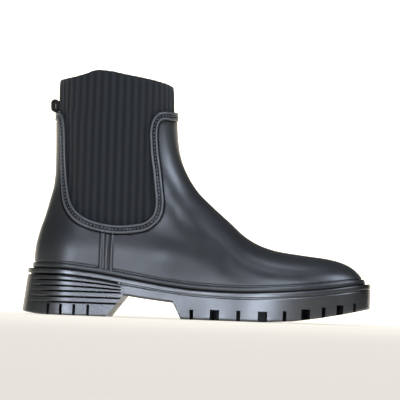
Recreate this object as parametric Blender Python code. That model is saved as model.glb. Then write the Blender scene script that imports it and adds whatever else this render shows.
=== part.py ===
"""Rubber ankle boot for the right foot, standing on its sole.

Tables and named sizes are in millimetres, meshes in metres. X runs from heel to toe, Y from the outer side to the
inner side of the foot and Z up. A point on the upper is given by its turn and its height: turn 0 is the back line,
pi the front line, negative turns are on the outer side and positive turns on the inner side.
"""

import math

import bmesh
import bpy
import numpy as np

MM = 0.001

# Main sizes
HEEL_END = 9.2
TOE_END = 280.2
LEDGE = 4.8
WALL = 2.2
GAP = 0.3
TOE_SWING = 7.0
TOE_ROUND = 80.0
TOE_POWER = 2.15
SECTION_POWER = 2.35
TOP = 205.0

# Back line of the upper, from the side: height, x
BACK_LINE = (
    (20.0, 9.2), (41.0, 9.2), (54.0, 9.9), (67.0, 12.6), (80.0, 16.6), (93.0, 20.0), (106.0, 23.0),
    (118.0, 23.9), (131.0, 23.7), (157.0, 22.8), (186.0, 22.0), (TOP, 22.4),
)

# Front line of the upper, from the toe to the collar: height, x
FRONT_LINE = (
    (33.2, TOE_END), (36.2, 279.1), (41.2, 275.6), (47.2, 268.4), (50.3, 261.8), (53.4, 249.2), (55.8, 227.2),
    (58.4, 207.4), (62.2, 194.2), (68.4, 182.4), (80.2, 168.5), (91.8, 154.8), (103.4, 142.3), (116.0, 133.4),
    (128.5, 127.5), (141.0, 124.4), (154.0, 122.8), (168.0, 122.2), (186.0, 121.2), (TOP, 119.2),
)

# Top of the sole along the foot: x, height
SOLE_TOP = (
    (0.0, 37.6), (30.0, 37.4), (60.0, 35.0), (89.0, 30.8), (122.0, 26.0), (145.0, 23.8), (175.0, 23.0),
    (210.0, 24.4), (250.0, 28.4), (285.0, 34.2),
)

# Half widths of the upper at its base before the ends are rounded: x, outer side, inner side
BASE_WIDTH = (
    (0.0, 31.6, 31.6), (40.0, 31.8, 31.6), (75.0, 31.6, 29.4), (105.0, 33.2, 27.8), (135.0, 38.2, 32.0),
    (165.0, 43.6, 39.4), (190.0, 46.0, 44.4), (212.0, 46.0, 46.6), (240.0, 45.0, 46.0), (285.0, 43.0, 43.0),
)

# Half width of heel and shaft and the depth of their rounding at the back: height, half width, back depth
SHAFT_WIDTH = (
    (30.0, 31.8, 33.0), (50.0, 32.2, 33.0), (70.0, 30.4, 35.0), (90.0, 30.0, 38.0), (110.0, 31.2, 41.0),
    (130.0, 33.2, 42.0), (150.0, 35.0, 42.0), (170.0, 36.2, 42.0), (TOP, 37.2, 42.0),
)
FRONT_DEPTH = 48.0
SHAFT_RISE = 32.0
FOOT_START, FOOT_FULL = 88.0, 148.0
FOOT_HIGH, FOOT_NONE = 78.0, 128.0

# Edge of the rubber round the top and the side cut-outs: turn, height
COLLAR = (
    (0.0, 165.0), (0.33, 165.0), (0.475, 163.2), (0.56, 157.5), (0.593, 148.5), (0.60, 135.0), (0.62, 117.0),
    (0.72, 98.0), (0.90, 83.5), (1.12, 76.4), (1.35, 74.0), (1.60, 76.2), (1.76, 82.0), (1.90, 92.0),
    (2.06, 110.0), (2.15, 126.0), (2.18, 140.0), (2.195, 151.0), (2.25, 160.5), (2.38, 166.4), (2.58, 168.0),
    (math.pi, 168.0),
)
GIRTH_PER_TURN = 41.0
RUBBER_TOP = 168.0

# Section of the trim band: distance from the rubber's edge, lift off the wall
TRIM_BAND = (
    (-2.0, 0.95), (1.3, 0.95), (2.5, 0.3), (3.7, 0.95), (5.5, 0.95), (6.5, -0.9), (-2.0, -0.9),
)

# Bead at the foot of the upper: rise over the sole, lift off the wall
BEAD = ((0.0, 0.3), (0.7, 0.95), (4.4, 0.95), (5.3, -0.2), (6.3, 0.0))

# Ridged side seam: share of its width, lift off the wall
SEAM_REAR, SEAM_FRONT = 63.6, 76.8
SEAM_RIDGES = ((0.0, -0.5), (0.06, 0.2), (0.18, 0.95), (0.33, 0.15), (0.5, 0.95), (0.67, 0.15), (0.82, 0.95),
               (0.94, 0.2), (1.0, -0.5))
SEAM_LOW, SEAM_HIGH, SEAM_UNDER = 3.0, 69.4, -1.3

# Knit sock: turn, height of its hidden lower edge, height of its top edge
SOCK_EDGES = (
    (0.0, 102.0, 191.6), (0.35, 96.0, 192.0), (0.72, 80.0, 193.2), (1.0, 69.0, 195.4), (1.3, 62.0, 199.2),
    (1.5, 62.6, 198.6), (1.75, 66.0, 196.6), (2.1, 76.0, 194.4), (2.6, 95.0, 191.8), (math.pi, 106.0, 189.8),
)
SOCK_WALL = 2.3
SOCK_GAP = 0.6
SOCK_BULGE = 1.5
SOCK_EASE = 11.0

# Sole: lowest line of the forefoot and waist, x, height
SOLE_BOTTOM = (
    (0.0, 17.5), (86.0, 17.5), (104.0, 15.2), (126.0, 13.0), (133.0, 0.0), (200.0, 0.0), (224.0, 1.6), (245.0, 4.8),
    (265.0, 8.8), (285.0, 13.4),
)
# Side of the sole from the top down: depth below the top, inset at the forefoot, inset at the heel
SOLE_LIP = ((0.0, 0.6, 0.6), (0.7, 0.0, 0.0), (3.7, 0.0, 0.0), (4.3, 1.0, 2.6), (4.9, 0.0, 2.6))
SOLE_FOOT = ((1.2, 0.0, 2.6), (0.0, 1.0, 3.2))
SOLE_STATIONS = (81.0, 84.0, 94.0, 104.0, 115.0, 126.0, 133.0, 146.0, 160.0, 174.0, 187.0, 200.0, 212.0, 224.0,
                 235.0, 245.0, 255.0, 263.0, 270.0, 275.5, 279.5, 282.4, 284.1, 284.9)
HEEL_STATIONS = (4.5, 5.2, 6.8, 9.6, 13.5, 19.0, 26.0, 34.0, 44.0, 56.0, 70.0, 86.0)

# Heel block
HEEL_HEIGHT = 32.4
HEEL_DROP = 5.2
HEEL_FRONT = 86.0
HEEL_INSET_END = (81.0, 84.0)
HEEL_FLARE_REAR, HEEL_FLARE_SIDE = 4.0, 1.2
HEEL_BEVEL, HEEL_BEVEL_RUN = 3.6, 26.0
RIB_GROOVES = (28.4, 23.9, 19.5, 15.0, 10.5)
RIB_DEPTH = 1.1
RIB_HALF = 0.8
RIB_FIXED = 19.5
RIB_REAR = (9.0, 18.0)
BREAST_FOOT, BREAST_HEAD, BREAST_RISE = 72.0, 85.2, 17.2

# Notches between the lugs at the side of the sole: x, width, depth inward, height
NOTCHES = (
    (25.4, 2.2, 9.0, 9.2), (35.4, 2.2, 9.0, 9.2), (46.1, 2.2, 9.0, 9.2), (57.4, 2.2, 9.0, 9.2),
    (141.7, 3.0, 12.0, 8.0), (160.5, 7.6, 15.0, 8.6), (179.8, 3.2, 12.0, 8.6), (199.2, 7.6, 15.0, 8.6),
    (216.9, 3.2, 12.0, 8.6), (233.7, 7.4, 15.0, 8.6), (248.0, 3.2, 12.0, 8.4), (261.0, 6.4, 13.0, 8.0),
    (272.6, 3.0, 10.0, 7.4),
)
# Tread under the forefoot and the heel: a ring groove inside the lugs and cross grooves inside the ring
RING_INSET, RING_WIDTH, TREAD_DEPTH = 19.0, 4.6, 5.2
RING_REAR, RING_FRONT = 142.0, 258.0
CROSS_GROOVES = (158.0, 177.0, 196.0, 215.0, 234.0)
CROSS_WIDTH, CROSS_DEPTH = 4.4, 4.6
HEEL_POCKET = (24.0, 58.0, 13.0, 4.4)

# Insole and pull loop
INSOLE_THICK = 3.0
INSOLE_INSET = 0.7
LOOP_LOW, LOOP_TALL, LOOP_DEEP = 165.8, 10.4, 6.7
LOOP_STRAP, LOOP_WIDTH, LOOP_CORNER = 1.2, 13.0, 2.2
LOOP_PER_TURN = 44.0

# Mesh counts
SHELL_TURNS = 60
SHELL_ROWS = 20
TOE_CROWDING = 1.18
INNER_ROWS = 11
SOCK_TURNS = 56
COLLAR_STEPS = 52


def slopes(x, y):
    """Monotone cubic slopes at the rows of a table."""
    step = np.diff(x)
    rate = np.diff(y) / step
    inner = np.zeros(len(x))
    for i in range(1, len(x) - 1):
        if rate[i - 1] * rate[i] > 0:
            left = 2 * step[i] + step[i - 1]
            right = step[i] + 2 * step[i - 1]
            inner[i] = (left + right) / (left / rate[i - 1] + right / rate[i])
    inner[0] = rate[0]
    inner[-1] = rate[-1]
    return inner


def smooth_table(rows, column=1, level_ends=False):
    """A smooth function through one column of a table, constant beyond its ends."""
    x = np.array([row[0] for row in rows], float)
    y = np.array([row[column] for row in rows], float)
    slope = slopes(x, y)
    if level_ends:
        slope[[0, -1]] = 0.0

    def value(at):
        at = np.clip(np.asarray(at, float), x[0], x[-1])
        i = np.clip(np.searchsorted(x, at) - 1, 0, len(x) - 2)
        step = x[i + 1] - x[i]
        t = (at - x[i]) / step
        start = (1 + 2 * t) * (1 - t) ** 2 * y[i] + t * (1 - t) ** 2 * step * slope[i]
        end = t * t * (3 - 2 * t) * y[i + 1] - t * t * (1 - t) * step * slope[i + 1]
        return start + end

    return value


def straight_table(rows, column=1):
    """A function in straight lines through one column of a table."""
    x = [row[0] for row in rows]
    y = [row[column] for row in rows]
    return lambda at: np.interp(at, x, y)


def ease(t):
    """Smooth step from 0 to 1."""
    t = np.clip(t, 0.0, 1.0)
    return t * t * (3 - 2 * t)


def bow(t):
    """Quarter circle from 0 to 1, level after 1."""
    return np.sqrt(np.clip(1 - (1 - np.clip(t, 0.0, 1.0)) ** 2, 0.0, 1.0))


back_x = smooth_table(BACK_LINE)
front_x = smooth_table(FRONT_LINE)
sole_top = smooth_table(SOLE_TOP)
sole_bottom = straight_table(SOLE_BOTTOM)
base_outer = smooth_table(BASE_WIDTH, 1)
base_inner = smooth_table(BASE_WIDTH, 2)
shaft_half = smooth_table(SHAFT_WIDTH, 1)
back_depth = smooth_table(SHAFT_WIDTH, 2)
sock_low = smooth_table(SOCK_EDGES, 1, level_ends=True)
sock_high = smooth_table(SOCK_EDGES, 2, level_ends=True)

RIDGE_Z = np.linspace(FRONT_LINE[0][0], TOP, 6000)
RIDGE_X = front_x(RIDGE_Z)


def ridge_z(x):
    """Height of the front line over x."""
    return np.interp(x, RIDGE_X[::-1], RIDGE_Z[::-1])


def centre_y(x):
    """The foot's middle line, which swings to the inner side at the toe."""
    return TOE_SWING * ease((x - 140.0) / 150.0)


def half_width(x, z, inner):
    """Half width of the upper at a point of its side view."""
    base = np.where(inner, base_inner(x), base_outer(x))
    low = sole_top(x)
    shaft = base + (shaft_half(z) - base) * ease((z - low) / SHAFT_RISE)
    shaft = shaft * bow((x - back_x(z)) / back_depth(z)) * bow((front_x(z) - x) / FRONT_DEPTH)
    toe = np.sqrt(1 - np.clip(1 - (TOE_END - x) / TOE_ROUND, 0.0, 1.0) ** TOE_POWER)
    share = np.clip((z - low) / np.maximum(ridge_z(x) - low, 0.2), 0.0, 1.0)
    foot = base * toe * np.sqrt(1 - share ** SECTION_POWER)
    along = ease((x - FOOT_START) / (FOOT_FULL - FOOT_START))
    down = 1 - ease((z - FOOT_HIGH) / (FOOT_NONE - FOOT_HIGH))
    return shaft + (foot - shaft) * along * down


def surface(turn, z):
    """Point on the outside of the upper's plain wall."""
    turn, z = np.broadcast_arrays(np.asarray(turn, float), np.asarray(z, float))
    rear = back_x(z)
    x = rear + (front_x(z) - rear) * (1 - np.cos(turn)) / 2
    y = centre_y(x) + np.sin(turn) / np.maximum(abs(np.sin(turn)), 1e-9) * half_width(x, z, turn > 0)
    return np.stack([x, y, z], axis=-1)


def skin(turn, z, lift):
    """Point at a lift off the plain wall, along the wall's own normal."""
    turn, z = np.broadcast_arrays(np.asarray(turn, float), np.asarray(z, float))
    along = surface(turn + 0.004, z) - surface(turn - 0.004, z)
    up = surface(turn, z + 0.1) - surface(turn, z - 0.1)
    normal = np.cross(up, along)
    normal /= np.linalg.norm(normal, axis=-1, keepdims=True)
    return surface(turn, z) + normal * np.asarray(lift, float)[..., None]


def base_z(turn, rise):
    """Height of the line that runs round the upper at a rise over the sole's top."""
    z = np.full(np.shape(turn), 30.0)
    for _ in range(12):
        z = sole_top(surface(turn, z)[..., 0]) + rise
    return z


def turn_at(x, z):
    """Turn on the inner side of the point with this x and height."""
    rear = back_x(z)
    return np.arccos(np.clip(1 - 2 * (x - rear) / (front_x(z) - rear), -1.0, 1.0))


def ring_turns(count):
    """Even turns once round, with one on the back line and one on the front line."""
    return (np.arange(count) - count // 2) * (2 * math.pi / count)


def add_object(name, points, faces, material=None):
    """A closed mesh with its faces turned outward. Without a material it is a helper that no one sees."""
    mesh = bpy.data.meshes.new(name)
    flat = (np.asarray(points, float).reshape(-1, 3) - ORIGIN) * MM
    mesh.from_pydata(flat.tolist(), [], faces)
    work = bmesh.new()
    work.from_mesh(mesh)
    bmesh.ops.recalc_face_normals(work, faces=work.faces)
    bmesh.ops.triangulate(work, faces=work.faces, quad_method="SHORT_EDGE", ngon_method="BEAUTY")
    work.to_mesh(mesh)
    work.free()
    obj = bpy.data.objects.new(name, mesh)
    bpy.context.scene.collection.objects.link(obj)
    if material is None:
        obj.hide_render = True
        obj.display_type = "WIRE"
    else:
        mesh.materials.append(material)
    return obj


def wheel_faces(rows, around, first=0):
    """Faces of a grid that closes on itself both ways."""
    faces = []
    for i in range(rows):
        for j in range(around):
            a = first + i * around + j
            b = first + i * around + (j + 1) % around
            c = first + (i + 1) % rows * around + (j + 1) % around
            d = first + (i + 1) % rows * around + j
            faces.append((a, b, c, d))
    return faces


def loft_faces(stations, around, first=0):
    """Faces of a row of closed sections. An end is closed level by level from one side to the other."""
    faces = []
    for i in range(stations - 1):
        for j in range(around):
            a = first + i * around + j
            b = first + i * around + (j + 1) % around
            faces.append((a, b, b + around, a + around))
    for end in (first, first + (stations - 1) * around):
        for j in range(around // 2 - 1):
            faces.append((end + j, end + j + 1, end + around - 2 - j, end + around - 1 - j))
    return faces


def add_wheel(name, rows, material=None):
    """A solid from rows of points that close on themselves both ways."""
    rows = np.asarray(rows)
    return add_object(name, rows, wheel_faces(rows.shape[0], rows.shape[1]), material)


def add_loft(name, sections, material=None):
    """A solid from a row of closed sections."""
    sections = np.asarray(sections)
    return add_object(name, sections, loft_faces(sections.shape[0], sections.shape[1]), material)


def add_blocks(name, blocks):
    """One helper with several separate blocks, each a pair of four-cornered sections."""
    points = np.concatenate([np.asarray(block).reshape(-1, 3) for block in blocks])
    faces = []
    for i in range(len(blocks)):
        faces += loft_faces(2, 4, 8 * i)
    return add_object(name, points, faces)


def boolean(obj, other, operation):
    """Join another object to this one or cut it out, as a live modifier."""
    modifier = obj.modifiers.new(other.name, "BOOLEAN")
    modifier.operation = operation
    modifier.object = other
    modifier.solver = "EXACT"


def make_material(name, colour, roughness):
    material = bpy.data.materials.new(name)
    material.use_nodes = True
    shader = material.node_tree.nodes["Principled BSDF"]
    shader.inputs["Base Color"].default_value = (*colour, 1.0)
    shader.inputs["Roughness"].default_value = roughness
    shader.inputs["Metallic"].default_value = 0.0
    return material


def plan_outline(lift):
    """Plan of the upper's foot moved outward by a lift: outer and inner edges as (x, y) rows from heel to toe."""
    turn = np.linspace(-math.pi, math.pi, 1441)
    foot = surface(turn, base_z(turn, 0.0))[:, :2]
    along = np.gradient(foot, axis=0)
    along[0] = along[-1] = foot[1] - foot[-2]
    along /= np.linalg.norm(along, axis=1, keepdims=True)
    moved = foot + lift * np.stack([-along[:, 1], along[:, 0]], axis=1)
    return moved[720::-1], moved[720:]


PLAN_FOOT = plan_outline(0.0)
PLAN_LEDGE = plan_outline(LEDGE)


def edge_point(plan, share, inner):
    """Point on a plan's edge at a share of the length."""
    rows = plan[1] if inner else plan[0]
    x = rows[0, 0] + (rows[-1, 0] - rows[0, 0]) * share
    return np.array([x, np.interp(x, rows[:, 0], rows[:, 1])])


def rim(x, lift, inner):
    """Point of the sole's edge beside x on its ledge line, moved in or out to another lift."""
    rows = PLAN_LEDGE[1]
    share = (x - rows[0, 0]) / (rows[-1, 0] - rows[0, 0])
    foot = edge_point(PLAN_FOOT, share, inner)
    ledge = edge_point(PLAN_LEDGE, share, inner)
    return foot + (ledge - foot) * lift / LEDGE


def sole_section(x):
    """Section of the forefoot, waist and lip: down the outer side and up the inner side."""
    heel = 1 - ease((x - HEEL_INSET_END[0]) / (HEEL_INSET_END[1] - HEEL_INSET_END[0]))
    low = float(sole_bottom(x))
    high = float(sole_top(x))
    levels = [(high - depth, fore + (rear - fore) * heel) for depth, fore, rear in SOLE_LIP]
    levels += [(low + rise, fore + (rear - fore) * heel) for rise, fore, rear in SOLE_FOOT]
    outer = [(*rim(x, LEDGE - inset, False), z) for z, inset in levels]
    inner = [(*rim(x, LEDGE - inset, True), z) for z, inset in reversed(levels)]
    return outer + inner


def heel_levels(x):
    """Heights and insets of the heel block's side, from the top down."""
    top = float(sole_top(x)) - HEEL_DROP
    low = HEEL_BEVEL * max(0.0, 1 - x / HEEL_BEVEL_RUN) ** 2
    deep = RIB_DEPTH * float(ease((x - RIB_REAR[0]) / (RIB_REAR[1] - RIB_REAR[0])))
    levels = [(top, 0.4), (top - 0.4, 0.0)]
    for groove in RIB_GROOVES:
        z = groove
        if groove > RIB_FIXED:
            z = RIB_FIXED + (groove - RIB_FIXED) * (top - RIB_FIXED) / (HEEL_HEIGHT - RIB_FIXED)
        levels += [(z + RIB_HALF, 0.0), (z, deep), (z - RIB_HALF, 0.0)]
    return levels + [(low + 1.0, 0.0), (low, 0.9)]


def heel_section(x):
    """Section of the heel block, which flares out toward the ground."""
    flare = HEEL_FLARE_SIDE + (HEEL_FLARE_REAR - HEEL_FLARE_SIDE) * (1 - float(ease(x / 40.0)))
    points = []
    for inner, levels in ((False, heel_levels(x)), (True, heel_levels(x)[::-1])):
        for z, inset in levels:
            lift = LEDGE - inset + flare * (1 - z / HEEL_HEIGHT)
            points.append((*rim(x, lift, inner), z))
    return points


def notch_block(x, width, depth, height, inner):
    """Block that cuts one notch into the sole's side, square to its edge."""
    here = rim(x, LEDGE, inner)
    along = rim(x + 0.5, LEDGE, inner) - rim(x - 0.5, LEDGE, inner)
    along /= np.linalg.norm(along)
    inward = np.array([along[1], -along[0]]) if inner else np.array([-along[1], along[0]])
    start = here - 7.0 * inward
    end = here + depth * inward
    low = -3.0
    high = height + (float(sole_bottom(x)) if x > HEEL_FRONT else 0.0)
    sections = []
    for side in (-0.5, 0.5):
        near = start + side * width * along
        far = end + side * width * along
        sections.append([(*near, low), (*far, low), (*far, high), (*near, high)])
    return sections


def cross_block(x, half, width, depth):
    """Block that cuts a groove across the tread."""
    middle = float(rim(x, LEDGE, True)[1] + rim(x, LEDGE, False)[1]) / 2
    high = float(sole_bottom(x)) + depth
    sections = []
    for y in (middle - half, middle + half):
        sections.append([(x - width / 2, y, -3.0), (x + width / 2, y, -3.0), (x + width / 2, y, high),
                         (x - width / 2, y, high)])
    return sections


def ring_groove():
    """Groove inside the forefoot's lugs, as a closed loop of square sections."""
    x = np.concatenate([np.linspace(RING_REAR, RING_FRONT, 14), np.linspace(RING_FRONT, RING_REAR, 14)])
    inner = np.arange(len(x)) >= 14
    centre = np.array([(rim(v, LEDGE, True) + rim(v, LEDGE, False)) / 2 for v in x])
    edge = np.array([rim(v, LEDGE - RING_INSET, side) for v, side in zip(x, inner)])
    inward = centre - edge
    inward /= np.linalg.norm(inward, axis=1, keepdims=True)
    far = edge + RING_WIDTH * inward
    far[:, 0] += RING_WIDTH * np.where(x < RING_REAR + 1, 1.0, np.where(x > RING_FRONT - 1, -1.0, 0.0))
    high = sole_bottom(x) + TREAD_DEPTH
    low = np.full(len(x), -3.0)
    return [np.column_stack([edge, low]), np.column_stack([far, low]), np.column_stack([far, high]),
            np.column_stack([edge, high])]


def collar_line():
    """The collar's edge once round: turns, heights and the unit vectors that point into the rubber."""
    rows = [(turn * GIRTH_PER_TURN, z) for turn, z in COLLAR]
    run = np.concatenate([[0.0], np.cumsum(np.hypot(*np.diff(np.array(rows), axis=0).T))])
    across = smooth_table([(s, row[0]) for s, row in zip(run, rows)])
    height = smooth_table([(s, row[1]) for s, row in zip(run, rows)])
    s = np.linspace(0.0, run[-1], COLLAR_STEPS + 1)
    step = 0.6
    along = np.stack([across(s + step) - across(s - step), height(s + step) - height(s - step)], axis=1)
    along[[0, -1]] = (1.0, 0.0)
    along /= np.linalg.norm(along, axis=1, keepdims=True)
    girth, z = across(s), height(s)
    into = np.stack([along[:, 1], -along[:, 0]], axis=1)
    girth = np.concatenate([-girth[:0:-1], girth[:-1]])
    z = np.concatenate([z[:0:-1], z[:-1]])
    into = np.concatenate([into[:0:-1] * (-1, 1), into[:-1]])
    return girth, z, into


def collar_row(distance, lift):
    """Row of points along the collar at a distance from its edge."""
    girth, z, into = collar_line()
    return skin((girth + distance * into[:, 0]) / GIRTH_PER_TURN, z + distance * into[:, 1], lift)


def shell_rows(turn, count, high):
    """Heights of the shell's rows over the bead: even at the back, and even along the front line at the front."""
    low = base_z(turn, BEAD[-1][0])
    share = np.linspace(0.0, 1.0, count)[:, None]
    line = np.linspace(20.0, high, 3000)
    run = np.concatenate([[0.0], np.cumsum(np.hypot(np.diff(front_x(line)), np.diff(line)))])
    start = np.interp(low, line, run)
    front = np.interp(start + (run[-1] - start) * share ** TOE_CROWDING, run, line)
    even = low + (high - low) * share
    return even + (front - even) * ease((abs(turn) - 0.4) / 1.2)


def make_upper(material):
    """Moulded rubber shell with its bead, its seams and the trim band, cut along the collar."""
    turn = ring_turns(SHELL_TURNS)
    high = RUBBER_TOP + 4.0
    rows = [skin(turn, base_z(turn, rise) + GAP, lift) for rise, lift in BEAD]
    rows += list(skin(turn, shell_rows(turn, SHELL_ROWS, high)[1:], 0.0))
    inside = shell_rows(turn, INNER_ROWS, high)[::-1]
    rows += list(skin(turn, inside, -WALL))
    foot = skin(turn, base_z(turn, 0.0) + GAP, -WALL)
    foot[:, 2] = rows[0][:, 2]
    rows.append(foot)
    upper = add_wheel("upper", rows, material)

    seams = []
    for side in (-1.0, 1.0):
        x = SEAM_REAR + (SEAM_FRONT - SEAM_REAR) * np.array([row[0] for row in SEAM_RIDGES])
        lift = np.array([row[1] for row in SEAM_RIDGES])
        sections = []
        for share in np.linspace(0.0, 1.0, 5):
            z = sole_top(x) + SEAM_LOW + (SEAM_HIGH - sole_top(x) - SEAM_LOW) * share
            face = skin(side * turn_at(x, z), z, lift)
            under = skin(side * turn_at(x, z), z, SEAM_UNDER)
            sections.append(np.concatenate([face, under[::-1]]))
        seams.append(add_loft("seam_outer" if side < 0 else "seam_inner", sections))
    band = add_wheel("trim_band", [collar_row(distance, lift) for distance, lift in TRIM_BAND])
    girth, z, _ = collar_line()
    edge = girth / GIRTH_PER_TURN
    above = np.full(len(z), RUBBER_TOP + 12.0)
    cutter = add_wheel("collar_cutter", [skin(edge, z, -7.0), skin(edge, z, 5.0), skin(edge, above, 5.0),
                                         skin(edge, above, -7.0)])
    for seam in seams:
        boolean(upper, seam, "UNION")
    boolean(upper, band, "UNION")
    boolean(upper, cutter, "DIFFERENCE")


def sock_lift(turn, z):
    """How far the knit's outside lies under the plain wall: it fills out a little inside the cut-outs."""
    girth, edge, _ = collar_line()
    apart = np.hypot((abs(turn)[..., None] - abs(girth) / GIRTH_PER_TURN) * GIRTH_PER_TURN, z[..., None] - edge)
    order = np.argsort(girth)
    inside = z > np.interp(turn * GIRTH_PER_TURN, girth[order], edge[order])
    bulge = SOCK_BULGE * ease((apart.min(axis=-1) - 1.5) / SOCK_EASE) * inside
    return -(WALL + SOCK_GAP) + bulge * (1 - ease((z - 158.0) / 16.0))


def make_sock(material):
    """Knit sleeve between the hidden lower edge and the wavy top."""
    turn = ring_turns(SOCK_TURNS)
    low, high = sock_low(abs(turn)), sock_high(abs(turn))
    rows = []
    for share in (0.0, 0.09, 0.18, 0.28, 0.4, 0.54, 0.68, 0.8, 0.9, 0.985):
        z = low + (high - low) * share
        rows.append(skin(turn, z, sock_lift(turn, z)))
    rows.append(skin(turn, high, sock_lift(turn, high) - 0.5))
    rows.append(skin(turn, high, sock_lift(turn, high) - SOCK_WALL + 0.5))
    for share in (0.985, 0.8, 0.6, 0.4, 0.2, 0.0):
        z = low + (high - low) * share
        rows.append(skin(turn, z, sock_lift(turn, z) - SOCK_WALL))
    add_wheel("knit_sock", rows, material)


def make_outsole(material):
    """Sole unit: the lofted sole and heel joined, then cut by the notches and the tread grooves."""
    sole = add_loft("outsole", [sole_section(x) for x in HEEL_STATIONS[:-1] + SOLE_STATIONS], material)
    heel = add_loft("heel_block", [heel_section(x) for x in HEEL_STATIONS])
    slope = (BREAST_HEAD - BREAST_FOOT) / BREAST_RISE
    profile = [(BREAST_FOOT - 4.0 * slope, -4.0), (110.0, -4.0), (110.0, BREAST_RISE), (BREAST_HEAD, BREAST_RISE)]
    breast = add_blocks("breast_cutter", [[[(x, y, z) for x, z in profile] for y in (-60.0, 60.0)]])
    boolean(heel, breast, "DIFFERENCE")
    boolean(sole, heel, "UNION")
    notches = [notch_block(*row, inner) for row in NOTCHES for inner in (False, True)]
    boolean(sole, add_blocks("notch_cutter", notches), "DIFFERENCE")
    boolean(sole, add_wheel("ring_cutter", ring_groove()), "DIFFERENCE")
    crosses = []
    for x in CROSS_GROOVES:
        half = float(rim(x, LEDGE, True)[1] - rim(x, LEDGE, False)[1]) / 2 - RING_INSET - RING_WIDTH / 2
        crosses.append(cross_block(x, half, CROSS_WIDTH, CROSS_DEPTH))
    boolean(sole, add_blocks("cross_cutter", crosses), "DIFFERENCE")
    rear, front, half, depth = HEEL_POCKET
    corners = [(rear, -3.0), (front, -3.0), (front, depth), (rear, depth)]
    pocket = [[[(x, y, z) for x, z in corners] for y in (-half, half)]]
    boolean(sole, add_blocks("heel_pocket_cutter", pocket), "DIFFERENCE")


def make_insole(material):
    """Plate on the sole's top, a little clear of the upper all round."""
    turn = np.linspace(0.06, math.pi - 0.06, 26)
    sections = []
    for value in turn:
        sides = []
        for side in (-value, value):
            here = np.array([side])
            sides.append(skin(here, base_z(here, GAP + INSOLE_THICK + 0.5), -(WALL + INSOLE_INSET))[0])
        section = []
        for point, rises in ((sides[0], (0.0, INSOLE_THICK)), (sides[1], (INSOLE_THICK, 0.0))):
            for rise in rises:
                section.append((point[0], point[1], float(sole_top(point[0])) + GAP + rise))
        sections.append(section)
    add_loft("insole", sections, material)


def loop_profile(inset):
    """Rounded outline of the strap's loop: distance behind the knit, height over its lower end."""
    deep, tall, corner = LOOP_DEEP - inset, LOOP_TALL - inset, max(LOOP_CORNER - inset, 0.6)
    points = []
    for i, (out, up) in enumerate(((deep - corner, tall - corner), (inset + corner, tall - corner),
                                   (inset + corner, inset + corner), (deep - corner, inset + corner))):
        for angle in np.linspace(i * math.pi / 2, (i + 1) * math.pi / 2, 4):
            points.append((out + corner * math.cos(angle), up + corner * math.sin(angle)))
    return np.array(points)


def make_pull_loop(material):
    """Folded webbing loop against the back of the knit."""
    rows = []
    spread = np.linspace(-LOOP_WIDTH / 2, LOOP_WIDTH / 2, 5)
    for inset, places in ((0.0, spread), (LOOP_STRAP, spread[::-1])):
        profile = loop_profile(inset)
        for place in places:
            turn = np.full(len(profile), place / LOOP_PER_TURN)
            z = LOOP_LOW + profile[:, 1]
            rows.append(skin(turn, z, sock_lift(turn, z) + GAP + profile[:, 0]))
    add_wheel("pull_loop", rows, material)


def sole_origin():
    """Middle of the boot's plan, which is the frame's origin on the ground."""
    points = [point for x in SOLE_STATIONS for point in sole_section(x)]
    points += [point for x in HEEL_STATIONS for point in heel_section(x)]
    points = np.array(points)
    middle = (points.min(axis=0) + points.max(axis=0)) / 2
    return np.array([middle[0], middle[1], 0.0])


for old in list(bpy.data.objects):
    bpy.data.objects.remove(old)
ORIGIN = sole_origin()
rubber = make_material("rubber", (0.018, 0.02, 0.022), 0.42)
make_outsole(rubber)
make_upper(rubber)
make_sock(make_material("knit", (0.02, 0.022, 0.026), 0.9))
make_insole(make_material("lining", (0.09, 0.09, 0.095), 0.9))
make_pull_loop(make_material("webbing", (0.025, 0.026, 0.03), 0.8))
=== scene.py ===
"""Looks of a rubber ankle boot for the right foot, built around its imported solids.

Tables and named sizes are in millimetres, meshes in metres. X runs from heel to toe, Y from the outer side
to the inner side of the foot and Z up. A point on the upper is given by its turn and its height: turn 0 is
the back line, pi the front line, negative turns are on the outer side and positive turns on the inner side.
"""

import math

import bmesh
import bpy
import numpy as np
from mathutils import Matrix, Vector
from mathutils.kdtree import KDTree


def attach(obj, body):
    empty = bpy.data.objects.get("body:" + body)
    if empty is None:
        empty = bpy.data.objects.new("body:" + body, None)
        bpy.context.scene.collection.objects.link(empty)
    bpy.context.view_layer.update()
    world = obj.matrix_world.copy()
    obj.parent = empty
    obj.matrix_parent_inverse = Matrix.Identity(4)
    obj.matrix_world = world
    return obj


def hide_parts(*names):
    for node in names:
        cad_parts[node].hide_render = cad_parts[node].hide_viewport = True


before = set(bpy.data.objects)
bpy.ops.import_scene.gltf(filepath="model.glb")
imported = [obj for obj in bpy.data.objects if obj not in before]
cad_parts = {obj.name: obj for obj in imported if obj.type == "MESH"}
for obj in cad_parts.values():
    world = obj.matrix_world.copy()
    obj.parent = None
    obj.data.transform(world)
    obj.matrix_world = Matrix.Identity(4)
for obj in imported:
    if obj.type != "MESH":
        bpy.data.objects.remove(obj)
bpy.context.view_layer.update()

MM = 0.001

# Main sizes: the toe's end, the sole's edge beyond the upper, the rubber's wall, play between pieces,
# swing and rounding of the toe, fullness of the foot's section, and top of the tables
TOE_END = 280.2
LEDGE = 4.8
WALL = 2.2
GAP = 0.3
TOE_SWING, SWING_START, SWING_RUN = 7.0, 140.0, 150.0
TOE_ROUND = 80.0
TOE_POWER = 2.15
SECTION_POWER = 2.35
TOP = 205.0

# Back line of the upper, from the side: height, x
BACK_LINE = (
    (20.0, 9.2), (41.0, 9.2), (54.0, 9.9), (67.0, 12.6), (80.0, 16.6), (93.0, 20.0), (106.0, 23.0),
    (118.0, 23.9), (131.0, 23.7), (157.0, 22.8), (186.0, 22.0), (TOP, 22.4),
)

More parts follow.
